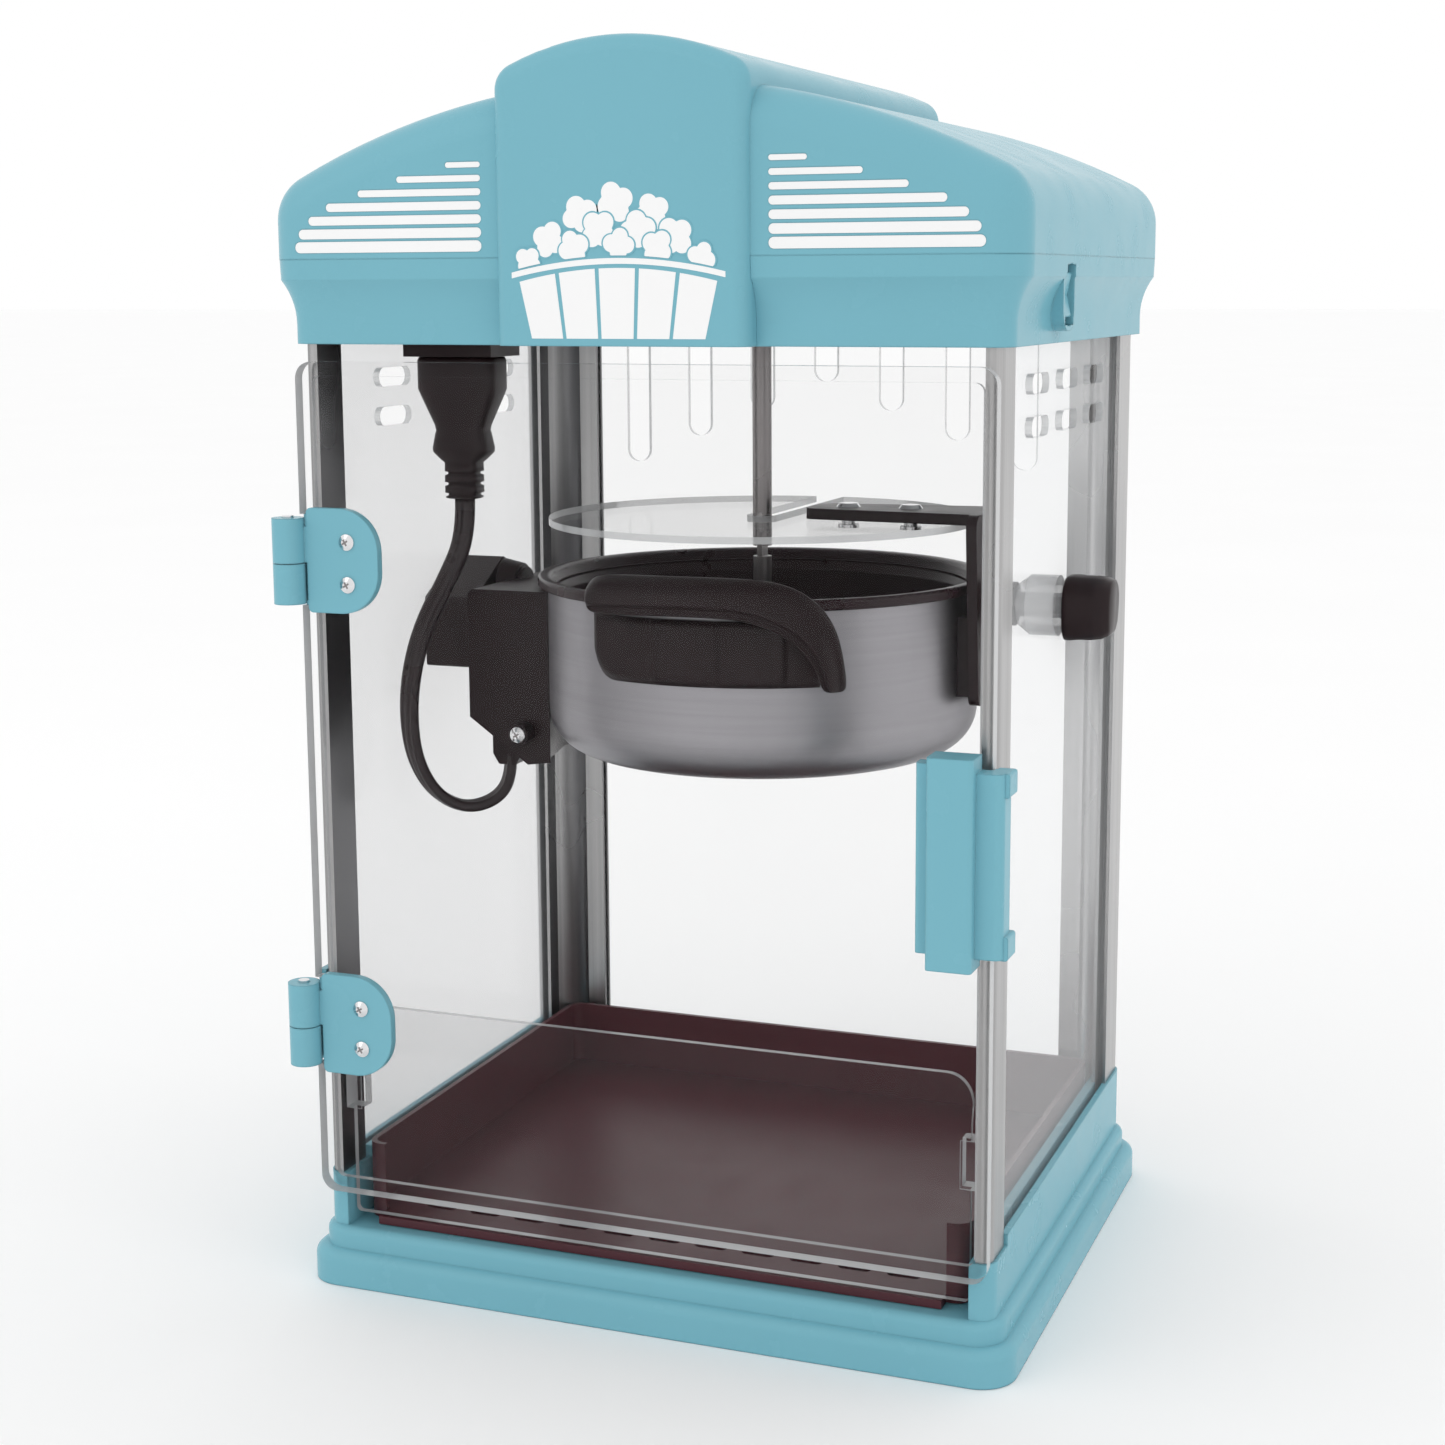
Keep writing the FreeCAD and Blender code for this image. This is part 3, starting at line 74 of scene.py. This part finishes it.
class Graph:
    """A material's node tree with short calls for the nodes used here."""

    def __init__(self, name):
        self.material = bpy.data.materials.new(name)
        self.material.use_nodes = True
        self.tree = self.material.node_tree
        self.tree.nodes.clear()
        self.out = self.tree.nodes.new("ShaderNodeOutputMaterial")
        self.surface = self.tree.nodes.new("ShaderNodeBsdfPrincipled")
        self.link(self.surface.outputs[0], self.out.inputs["Surface"])

    def link(self, a, b):
        self.tree.links.new(a, b)

    def add(self, kind, **settings):
        node = self.tree.nodes.new(kind)
        for key, value in settings.items():
            setattr(node, key, value)
        return node

    def set(self, **values):
        for key, value in values.items():
            self.surface.inputs[key.replace("_", " ")].default_value = value

    def place(self, stretch=(1, 1, 1)):
        """Object coordinates in metres, stretched."""
        coord = self.add("ShaderNodeTexCoord")
        mapping = self.add("ShaderNodeMapping")
        mapping.inputs["Scale"].default_value = stretch
        self.link(coord.outputs["Object"], mapping.inputs["Vector"])
        return mapping.outputs["Vector"]

    def noise(self, scale, stretch=(1, 1, 1), detail=4.0, rough=0.5):
        node = self.add("ShaderNodeTexNoise")
        node.inputs["Scale"].default_value = scale
        node.inputs["Detail"].default_value = detail
        node.inputs["Roughness"].default_value = rough
        self.link(self.place(stretch), node.inputs["Vector"])
        return node.outputs["Fac"]

    def spread(self, value, low, high, from_low=0.3, from_high=0.7):
        node = self.add("ShaderNodeMapRange")
        node.inputs["From Min"].default_value = from_low
        node.inputs["From Max"].default_value = from_high
        node.inputs["To Min"].default_value = low
        node.inputs["To Max"].default_value = high
        self.link(value, node.inputs["Value"])
        return node.outputs["Result"]

    def blend(self, factor, first, second):
        node = self.add("ShaderNodeMix", data_type="RGBA")
        node.inputs["A"].default_value = (*first, 1)
        node.inputs["B"].default_value = (*second, 1)
        self.link(factor, node.inputs["Factor"])
        return node.outputs["Result"]

    def facing(self, axis):
        """How squarely the surface looks along an axis, from 0 to 1."""
        coord = self.add("ShaderNodeTexCoord")
        split = self.add("ShaderNodeSeparateXYZ")
        self.link(coord.outputs["Normal"], split.inputs[0])
        size = self.add("ShaderNodeMath", operation="ABSOLUTE")
        self.link(split.outputs[axis], size.inputs[0])
        return size.outputs[0]

    def bump(self, height, strength, distance, edge=0.0):
        node = self.add("ShaderNodeBump")
        if edge:
            soft = self.add("ShaderNodeBevel", samples=4)
            soft.inputs["Radius"].default_value = edge
            self.link(soft.outputs[0], node.inputs["Normal"])
        node.inputs["Strength"].default_value = strength
        node.inputs["Distance"].default_value = distance
        self.link(height, node.inputs["Height"])
        self.link(node.outputs["Normal"], self.surface.inputs["Normal"])


def shade(colour, factor):
    return tuple(min(1.0, c * factor) for c in colour)


def moulded(name, colour, rough, grain, grain_depth, vary=0.05, coat=0.0, gloss=0.5, edge=0.0):
    """Moulded plastic: faint flow marks in the colour, a moulded texture and uneven gloss.
    A corner of radius edge (metres) catches the light as a moulded one does."""
    g = Graph(name)
    flow = g.noise(9, (1, 1, 0.45), 3)
    g.link(g.blend(g.spread(flow, 0, 1), shade(colour, 1 - vary), shade(colour, 1 + vary)),
           g.surface.inputs["Base Color"])
    g.link(g.spread(g.noise(60, detail=5), rough - 0.04, rough + 0.05), g.surface.inputs["Roughness"])
    g.bump(g.noise(grain, detail=2), 0.35, grain_depth, edge)
    g.set(Specular_IOR_Level=gloss, Coat_Weight=coat, Coat_Roughness=0.06)
    return g.material


def drawn_metal(name, colour, rough, stretch, streak=0.10, depth=0.00002, scale=500, side=None):
    """Metal with streaks along one direction, from drawing, spinning or brushing. The faces that look
    along X can be of another grey: a painted shade, darker, for the inner faces of a post that lie in shade."""
    g = Graph(name)
    streaks = g.noise(scale, stretch, 6, 0.6)
    broad = g.noise(14, detail=2)
    tone = g.blend(g.spread(streaks, 0, 1), shade(colour, 1 - streak), shade(colour, 1 + streak))
    # painted shade: the faces that look along X take the darker grey
    if side:
        facing = g.spread(g.facing("X"), 0, 1, 0.3, 0.8)
        mixed = g.add("ShaderNodeMix", data_type="RGBA")
        g.link(facing, mixed.inputs["Factor"])
        g.link(tone, mixed.inputs[6])
        mixed.inputs[7].default_value = (*side, 1)
        tone = mixed.outputs[2]
    g.link(tone, g.surface.inputs["Base Color"])
    g.link(g.spread(broad, rough - 0.04, rough + 0.05), g.surface.inputs["Roughness"])
    g.bump(streaks, 0.25, depth)
    g.set(Metallic=1.0)
    return g.material


def clear_plastic(name, face_axis, wide=0.2, tint=(0.62, 0.63, 0.64)):
    """Clear moulded acrylic. Its wide faces let light straight through with a faint gloss;
    the narrow faces at its edges and slots look denser, as they do on a real sheet."""
    g = Graph(name)
    edge = g.spread(g.facing(face_axis), 0.62, 0.012, 0.35, 0.97)
    fresnel = g.add("ShaderNodeFresnel")
    fresnel.inputs["IOR"].default_value = 1.45
    gloss = g.add("ShaderNodeMath", operation="MULTIPLY_ADD")
    gloss.inputs[1].default_value = 0.30
    g.link(fresnel.outputs[0], gloss.inputs[0])
    g.link(edge, gloss.inputs[2])
    waves = g.noise(7, (1, 1, 1), 2)
    clean = g.add("ShaderNodeMath", operation="ADD", use_clamp=True)
    g.link(gloss.outputs[0], clean.inputs[0])
    g.link(g.spread(waves, 0.0, 0.008), clean.inputs[1])
    g.link(clean.outputs[0], g.surface.inputs["Alpha"])
    g.link(g.blend(g.spread(g.facing(face_axis), 1, 0, 0.35, 0.97), shade(tint, wide), tint),
           g.surface.inputs["Base Color"])
    g.link(g.spread(g.noise(40, detail=4), 0.03, 0.09), g.surface.inputs["Roughness"])
    g.bump(waves, 0.05, 0.0004)
    g.set(Specular_IOR_Level=0.6)
    return g.material


MATERIALS = {
    "blue_plastic": moulded("blue_plastic", BLUE, 0.24, 360, 0.000002, 0.015, 0.0, 0.14, 0.0009),
    "dark_plastic": moulded("dark_plastic", DARK, 0.34, 480, 0.000008, 0.10, 0.0, 0.22, 0.0007),
    "non_stick": moulded("non_stick", DARK_RIM, 0.30, 420, 0.000008, 0.08, 0.0, 0.28),
    "tray_plastic": moulded("tray_plastic", MAROON, 0.36, 420, 0.000006, 0.05, 0.0, 0.3),
    "white_inlay": moulded("white_inlay", WHITE_INK, 0.38, 1500, 0.000005, 0.015),
    "motif_outline": moulded("motif_outline", BLUE, 0.30, 1500, 0.000005, 0.015, 0.0, 0.14),
    "gear_nylon": moulded("gear_nylon", NYLON, 0.45, 800, 0.00004, 0.05),
    "pad_rubber": moulded("pad_rubber", (0.018, 0.018, 0.018), 0.75, 600, 0.0001, 0.15, 0.0, 0.3),
    "lead_rubber": moulded("lead_rubber", shade(DARK, 1.1), 0.30, 480, 0.000006, 0.12, 0.0, 0.4),
    "sheet_steel": moulded("sheet_steel", SHEET_GREY, 0.42, 500, 0.00005, 0.03),
    "post_metal": drawn_metal("post_metal", POST_GREY, 0.30, (1, 1, 0.006), 0.12),
    # left posts: the same metal with painted shade on the faces that look along X
    "post_painted_shade": drawn_metal("post_painted_shade", POST_GREY, 0.30, (1, 1, 0.006), 0.12, side=POST_SHADE),
    "kettle_metal": drawn_metal("kettle_metal", KETTLE_GREY, 0.42, (0.02, 0.02, 1), 0.05),
    "rod_steel": drawn_metal("rod_steel", STEEL, 0.27, (1, 1, 0.01), 0.10),
    "chrome": drawn_metal("chrome", CHROME, 0.13, (1, 1, 1), 0.03),
    "clear_acrylic": clear_plastic("clear_acrylic", "Y"),
    "clear_side": clear_plastic("clear_side", "X", 1.5),
    "clear_back": clear_plastic("clear_back", "Y", 1.5),
    "clear_disc": clear_plastic("clear_disc", "Z", 0.5),
    "frosted": clear_plastic("frosted", "X", 1.0, (0.70, 0.70, 0.71)),
}
# Nodes whose finish isn't their record slot's own: clear parts differ by the way they face, and the left
# posts take a painted shade on their faces that look along X.
OTHER_FINISH = {
    "back_panel": "clear_back",
    "side_panel_left": "clear_side",
    "side_panel_right": "clear_side",
    "kettle_cover": "clear_disc",
    "knob_bush": "frosted",
    "front_post_left": "post_painted_shade",
    "rear_post_left": "post_painted_shade",
}


def finish_nodes():
    """Gives every CAD node its material."""
    for part in frame["record"]["subparts"]:
        obj = NODES[part["node"]]
        name = OTHER_FINISH.get(part["node"], part["material_slot"])
        obj.data.materials.clear()
        obj.data.materials.append(MATERIALS[name])


# ---------------------------------------------------------------- mesh helpers

def piece(name, mesh, body, material, *replaced, smooth=True):
    """Finishes a mesh (in millimetres, row frame) as a piece that rides on a body."""
    bmesh.ops.recalc_face_normals(mesh, faces=mesh.faces)
    bmesh.ops.scale(mesh, vec=(MM, MM, MM), verts=mesh.verts)
    data = bpy.data.meshes.new(name)
    mesh.to_mesh(data)
    mesh.free()
    data.materials.append(MATERIALS[material])
    if smooth:
        data.polygons.foreach_set("use_smooth", [True] * len(data.polygons))
    obj = bpy.data.objects.new(name, data)
    scene.collection.objects.link(obj)
    if body:
        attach(obj, body)
    if replaced:
        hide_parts(*replaced)
    return obj


def loft(mesh, rings):
    """Skins a row of rings of points, with both ends capped."""
    rows = [[mesh.verts.new(point) for point in ring] for ring in rings]
    for row, after in zip(rows, rows[1:]):
        for i in range(len(row)):
            j = (i + 1) % len(row)
            mesh.faces.new((row[i], row[j], after[j], after[i]))
    mesh.faces.new(rows[0])
    mesh.faces.new(rows[-1])


def subdivided(obj, levels):
    soft = obj.modifiers.new("soft", "SUBSURF")
    soft.levels = soft.render_levels = levels
    return obj


def plate(mesh, outline, back, front):
    """A flat plate of an (x, z) outline on the hood's front, between two depths on Y."""
    loft(mesh, [[(x, back, z) for x, z in outline], [(x, front, z) for x, z in outline]])


def superellipse(half_x, half_y, power, count):
    """An oval that is squarer the higher its power."""
    points = []
    for i in range(count):
        angle = 2 * math.pi * i / count
        c, s = math.cos(angle), math.sin(angle)
        points.append((half_x * math.copysign(abs(c) ** (2 / power), c),
                       half_y * math.copysign(abs(s) ** (2 / power), s)))
    return points


# ---------------------------------------------------------------- printed tub on the crown

TUB_FOOT, TUB_TOP, RIM_SAG = 347.5, 373.5, 4.5
RIM_HALF, FOOT_HALF = 37.0, 31.5
INK = 0.10
FACE_Y = -115.0


def rim_height(x):
    return TUB_TOP - RIM_SAG * (x / RIM_HALF) ** 2


def puff(x, z, size, turn):
    """Outline of a popped kernel: four round lobes joined about a middle."""
    lobes = [(0.62, 0.0, 0.62), (0.55, 1.5, 0.66), (0.60, 3.0, 0.58), (0.50, 4.6, 0.60)]
    outline = []
    for i in range(72):
        angle = 2 * math.pi * i / 72
        reach = 0.35
        for away, at, radius in lobes:
            off = angle - at - turn
            across = away * math.sin(off)
            if abs(across) < radius:
                reach = max(reach, away * math.cos(off) + math.sqrt(radius * radius - across * across))
        outline.append((x + size * reach * math.cos(angle), z + size * reach * math.sin(angle)))
    return outline


def grown(outline, x, z, by):
    points = []
    for px, pz in outline:
        away = math.hypot(px - x, pz - z)
        points.append((x + (px - x) * (away + by) / away, z + (pz - z) * (away + by) / away))
    return points


def tub():
    white, edge = bmesh.new(), bmesh.new()
    stripes = 5
    gap = 0.10
    for i in range(stripes):
        lows = [(2 * (i + gap * 0.5 + share * (1 - gap)) / stripes - 1) for share in (0, 0.25, 0.5, 0.75, 1)]
        top = [(x * (RIM_HALF - 1.2), rim_height(x * RIM_HALF) - 3.1) for x in lows]
        foot = [(x * FOOT_HALF, TUB_FOOT) for x in reversed(lows)]
        plate(white, top + foot, FACE_Y, FACE_Y - INK)
    steps = [-1 + i / 12 for i in range(25)]
    upper = [(x * (RIM_HALF + 0.9), rim_height(x * RIM_HALF) + 0.1) for x in steps]
    lower = [(x * (RIM_HALF + 0.9), rim_height(x * RIM_HALF) - 1.8) for x in reversed(steps)]
    plate(white, upper + lower, FACE_Y, FACE_Y - INK)
    rows = [
        [(-13, 387.5, 5.3, 0.5), (0, 391.5, 5.6, 2.1), (12.5, 388.5, 5.2, 3.7)],
        [(-24, 379.5, 5.0, 1.2), (-6.5, 383.0, 5.4, 4.0), (7.5, 382.5, 5.2, 0.2), (21, 380.5, 5.4, 2.4)],
        [(-31.5, 373.0, 4.0, 2.6), (-15.5, 377.0, 4.8, 5.2), (1.0, 378.2, 4.6, 3.1), (14.5, 376.8, 4.7, 1.0),
         (29.5, 373.6, 4.3, 4.4)],
    ]
    for level, row in enumerate(rows):
        for x, z, size, turn in row:
            outline = []
            for px, pz in puff(x, z, size, turn):
                outline.append((px, max(pz, rim_height(px) + 0.9)))
            ring = [(px, max(pz, rim_height(px) + 0.9)) for px, pz in grown(outline, x, z, 0.55)]
            near = FACE_Y - INK * (0.3 + level)
            plate(edge, ring, FACE_Y, near)
            plate(white, outline, FACE_Y, near - INK * 0.5)
    piece("tub_print", white, "cabinet", "white_inlay", smooth=False)
    piece("tub_print_gaps", edge, "cabinet", "motif_outline", smooth=False)


# ---------------------------------------------------------------- heater lead and plug

# The lead's control points, from the strain relief to the plug, in millimetres.
LEAD = [(-84, -30, 188), (-84, -30, 178.5), (-88, -34.5, 170.5), (-97.5, -41.5, 167.5),
        (-107.5, -47.5, 173.5), (-113.5, -52, 187), (-114.8, -54, 204), (-113, -54, 222),
        (-108.5, -51, 240), (-101, -45, 257), (-97, -38, 272), (-97, -38, 286)]
LEAD_WIDE, LEAD_THICK, LEAD_LENGTH = 7.6, 4.6, 0.1627


def lead_line():
    """Points read from the lead's own smooth spline, in metres."""
    data = bpy.data.curves.new("lead_line", "CURVE")
    data.dimensions = "3D"
    spline = data.splines.new("NURBS")
    spline.points.add(len(LEAD) - 1)
    for point, (x, y, z) in zip(spline.points, LEAD):
        point.co = (x * MM, y * MM, z * MM, 1)
    spline.order_u = 3
    spline.use_endpoint_u = True
    spline.resolution_u = 12
    obj = bpy.data.objects.new("lead_line", data)
    scene.collection.objects.link(obj)
    bpy.context.view_layer.update()
    mesh = bpy.data.meshes.new_from_object(obj.evaluated_get(bpy.context.evaluated_depsgraph_get()))
    points = [Vector(v.co) for v in mesh.vertices]
    bpy.data.objects.remove(obj)
    bpy.data.meshes.remove(mesh)
    return points


def lead_section():
    """Flat section of two cores side by side, with a rib between them on each face."""
    section = []
    for u, v in superellipse(LEAD_WIDE / 2, LEAD_THICK / 2, 2.6, 40):
        groove = 0.65 * math.exp(-((abs(u) - 1.3) / 0.5) ** 2)
        section.append((u, v - math.copysign(groove, v) if abs(v) > 0.9 else v))
    return section


def lead(plug):
    points = lead_line()
    section = lead_section()
    rings = []
    for i, point in enumerate(points):
        ahead = points[min(i + 1, len(points) - 1)] - points[max(i - 1, 0)]
        along = ahead.normalized()
        share = i / (len(points) - 1)
        upper = share * share * (3 - 2 * share)
        wide = Vector((0.60, -0.80, 0)).lerp(Vector((0.93, 0.36, 0)), upper)
        wide = (wide - along * wide.dot(along)).normalized()
        deep = along.cross(wide)
        rings.append([(point / MM + wide * u + deep * v) for u, v in section])
    mesh = bmesh.new()
    loft(mesh, rings)
    obj = piece("kettle_lead_flex", mesh, None, "lead_rubber")
    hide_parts("kettle_lead")
    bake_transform(obj)


def plug():
    """Wide body, waist, finger collar and a neck with slots across it."""
    x, y = -97, -38
    rows = [(338.7, 15.6, 7.8, 5), (337.5, 16, 8, 6), (327, 16, 8, 6), (324.5, 15.2, 7.7, 5),
            (313.5, 10.2, 6.6, 4), (311.5, 9.8, 6.3, 4), (310.4, 10.2, 6.4, 4), (304.8, 11.4, 6.8, 4),
            (303.4, 11.2, 6.6, 4), (300.6, 8.2, 5.6, 4), (299.6, 6.6, 5.0, 5)]
    z = 299.2
    for _ in range(3):
        rows += [(z - 0.4, 6.6, 5.0, 5), (z - 2.9, 6.7, 5.0, 5),
                 (z - 3.2, 5.6, 4.0, 5), (z - 4.0, 5.6, 4.0, 5)]
        z -= 4.0
    rows += [(z - 0.3, 6.4, 4.8, 5), (286.4, 6.4, 4.8, 5), (286.05, 5.8, 4.2, 4)]
    mesh = bmesh.new()
    loft(mesh, [[(x + u, y + v, z) for u, v in superellipse(a, b, power, 48)] for z, a, b, power in rows])
    obj = piece("lead_plug_body", mesh, "cabinet", "dark_plastic", "lead_plug")
    return obj


# ---------------------------------------------------------------- kettle grip and tilt knob

KETTLE_X, KNOB_Z = 8, 250


def round_kettle(radius, x, z):
    """The point at a height and a sideways place on a cylinder about the kettle's axis."""
    turn = math.asin((x - KETTLE_X) / radius)
    return (x, -radius * math.cos(turn), z)


def grip_band():
    """A canopy that starts at the rim, folds over to two ridges, and droops to a rounded end."""
    edge = [(-27.8, 262.0), (-25, 264.6), (-18, 265.8), (10, 266.3), (36, 266.2), (48.5, 263.8),
            (57.6, 256.8), (62.6, 247.9), (64.6, 237.5), (65.6, 230.0), (65.2, 227.0)]
    fold = [(-25.0, 255.6), (-22.5, 256.0), (-17, 256.4), (10, 257.3), (34, 257.0), (45, 253.2),
            (53.6, 247.0), (58.4, 240.0), (60.6, 233.5), (61.4, 229.0), (62.0, 227.4)]
    inward = [85.6, 85.2, 85.2, 85.2, 86.0, 88.0, 89.5, 91.0, 92.0, 92.6, 93.0]
    lip_length = [1.5, 3.2, 3.8, 3.8, 3.8, 3.8, 3.6, 3.4, 3.2, 2.4, 1.0]
    rings = []
    for (ex, ez), (fx, fz), near, lip in zip(edge, fold, inward, lip_length):
        width = math.hypot(fx - ex, fz - ez)
        ux, uz = (fx - ex) / width, (fz - ez) / width
        section = [(0, near), (0, near + 2.4), (0.30 * width, 93.6), (0.72 * width, 95.7),
                   (0.96 * width, 96.3), (width + 0.1 * lip, 96.2), (width + 0.34 * lip, 94.9),
                   (width + 0.58 * lip, 95.4), (width + 0.78 * lip, 96.2), (width + lip, 95.8),
                   (width + 1.02 * lip, 94.4), (width + 0.7 * lip, 93.5), (0.85 * width, 93.2),
                   (0.45 * width, 91.6), (0.16 * width, near + 0.6)]
        rings.append([round_kettle(radius, ex + ux * s, ez + uz * s) for s, radius in section])
    mesh = bmesh.new()
    loft(mesh, rings)
    obj = subdivided(piece("grip_canopy", mesh, "kettle", "dark_plastic", "grip_band"), 2)


def grip_plate():
    """The plate behind the canopy: it follows the kettle's wall, with three ribs and a rounded corner."""
    low_left, right = -28.0, 55.0
    columns = 60
    ribs = (-1.5, 20.5, 42.5)
    mesh = bmesh.new()
    grid = []
    for i in range(columns + 1):
        x = low_left + (right - low_left) * i / columns
        corner = max(0.0, 9 - (x - low_left))
        foot = 227.3 + (9 - math.sqrt(max(0.0, 81 - corner * corner)))
        turn = math.asin((x - 8) / 84.0)
        rib = max(math.exp(-((x - at) / 0.8) ** 2) for at in ribs)
        rows = []
        for j in range(9):
            z = foot + (250.6 - foot) * j / 8
            radius = 81.15 + (2.3 + 1.9 * rib if j > 0 else 1.2)
            rows.append((8 + radius * math.sin(turn), -radius * math.cos(turn), z))
        back = [(8 + 81.15 * math.sin(turn), -81.15 * math.cos(turn), z) for z in (250.6, foot)]
        grid.append(rows + back)
    loft(mesh, grid)
    obj = piece("grip_shield", mesh, "kettle", "dark_plastic", "grip_plate")


def tilt_knob():
    """Eight-sided knob, waisted where the fingers close on it."""
    outline = [(-8, -11.3), (-2, -11.5), (4, -11.3), (8, -8), (9.5, -4), (10.3, 0.5), (10.5, 5), (8.6, 9),
               (6, 11), (0.5, 11.4), (-5, 11), (-9, 8), (-11, 4), (-11.2, -0.5), (-11, -5), (-10, -9)]
    rows = [(125.0, 0.93), (125.6, 0.99), (127.5, 1.0), (131, 0.97), (135, 0.97), (139, 0.93),
            (141.4, 0.84), (142.0, 0.74)]
    rise = 1.92
    mesh = bmesh.new()
    loft(mesh, [[(x, y * scale, KNOB_Z + z * scale + rise * (1 - scale)) for y, z in outline]
                for x, scale in rows])
    obj = piece("tilt_knob_grip", mesh, "knob", "dark_plastic", "knob_grip")


CROSS_WIDTH, CROSS_TURN, CROSS_PROUD = 0.26, math.radians(31), 0.06


def painted_cross_shade(mesh, x, y, z, arm):
    """The cross cut in a screw's head, drawn as a dark plate a hair in front of the head's flat: its darkness
    is painted shade of the recess.
    """
    half = arm * CROSS_WIDTH
    shape = [(half, arm), (half, half), (arm, half), (arm, -half), (half, -half), (half, -arm), (-half, -arm),
             (-half, -half), (-arm, -half), (-arm, half), (-half, half), (-half, arm)]
    cos, sin = math.cos(CROSS_TURN), math.sin(CROSS_TURN)
    shape = [(u * cos - v * sin, u * sin + v * cos) for u, v in shape]
    loft(mesh, [[(x + u, depth, z + v) for u, v in shape] for depth in (y, y - CROSS_PROUD)])


def screw_crosses():
    # The dark steel crosses are painted shade of the recesses in the screw heads.
    door, housing = bmesh.new(), bmesh.new()
    for low in (254.3, 85.5):
        for rise in (7.3, 22.3):
            painted_cross_shade(door, -105.7, -112.7, low + rise, 1.25)
    painted_cross_shade(housing, -73, -47.8, 198.5, 1.3)
    piece("door_screw_crosses", door, "door", "rod_steel", smooth=False)
    piece("housing_screw_cross", housing, "kettle", "rod_steel", smooth=False)


# ---------------------------------------------------------------- camera, floor and light

def camera():
    """A portrait lens at the front right, level with the kettle, framed as the object's own height."""
    azimuth, elevation, roll = math.radians(20.645), math.radians(9.057), math.radians(-0.259)
    target = Vector((0, 0, 0.22434))
    offset = Vector((math.sin(azimuth) * math.cos(elevation), -math.cos(azimuth) * math.cos(elevation),
                     math.sin(elevation)))
    data = bpy.data.cameras.new("camera")
    data.sensor_width = 36
    data.lens = 58.706
    data.shift_x = -0.01426
    data.shift_y = -0.0443
    obj = bpy.data.objects.new("camera", data)
    scene.collection.objects.link(obj)
    obj.location = target + offset * 0.8961
    obj.rotation_euler = ((target - obj.location).to_track_quat("-Z", "Y").to_matrix()
                          @ Matrix.Rotation(roll, 3, "Z")).to_euler()
    scene.camera = obj


def floor():
    bpy.ops.mesh.primitive_plane_add(size=60, location=(0, 0, -0.0002))
    plane = bpy.context.object
    plane.name = "floor"
    g = Graph("floor_paper")
    g.link(g.blend(g.spread(g.noise(3, detail=2), 0, 1), (0.97, 0.97, 0.97), (0.98, 0.98, 0.98)),
           g.surface.inputs["Base Color"])
    g.set(Roughness=0.9, Specular_IOR_Level=0.2)
    plane.data.materials.append(g.material)


def area(name, place, aim, wide, tall, power):
    data = bpy.data.lights.new(name, "AREA")
    data.shape = "RECTANGLE"
    data.size, data.size_y, data.energy = wide, tall, power
    obj = bpy.data.objects.new(name, data)
    scene.collection.objects.link(obj)
    obj.location = place
    obj.rotation_euler = (Vector(aim) - Vector(place)).to_track_quat("-Z", "Y").to_euler()


def lights():
    world = bpy.data.worlds.new("studio")
    scene.world = world
    world.use_nodes = True
    background = world.node_tree.nodes["Background"]
    background.inputs["Color"].default_value = (1, 1, 1, 1)
    background.inputs["Strength"].default_value = 1.0
    area("key", (-1.2, -1.6, 1.5), (0, 0, 0.25), 1.2, 1.4, 3.0)
    area("side", (1.9, -0.5, 0.8), (0, 0, 0.25), 1.0, 1.4, 0.3)
    area("top", (0.1, 0.1, 1.9), (0, 0, 0.3), 1.5, 1.2, 0.4)
    scene.view_settings.view_transform = "Standard"


camera()
floor()
lights()
finish_nodes()
tub()
lead(plug())
grip_band()
grip_plate()
tilt_knob()
screw_crosses()
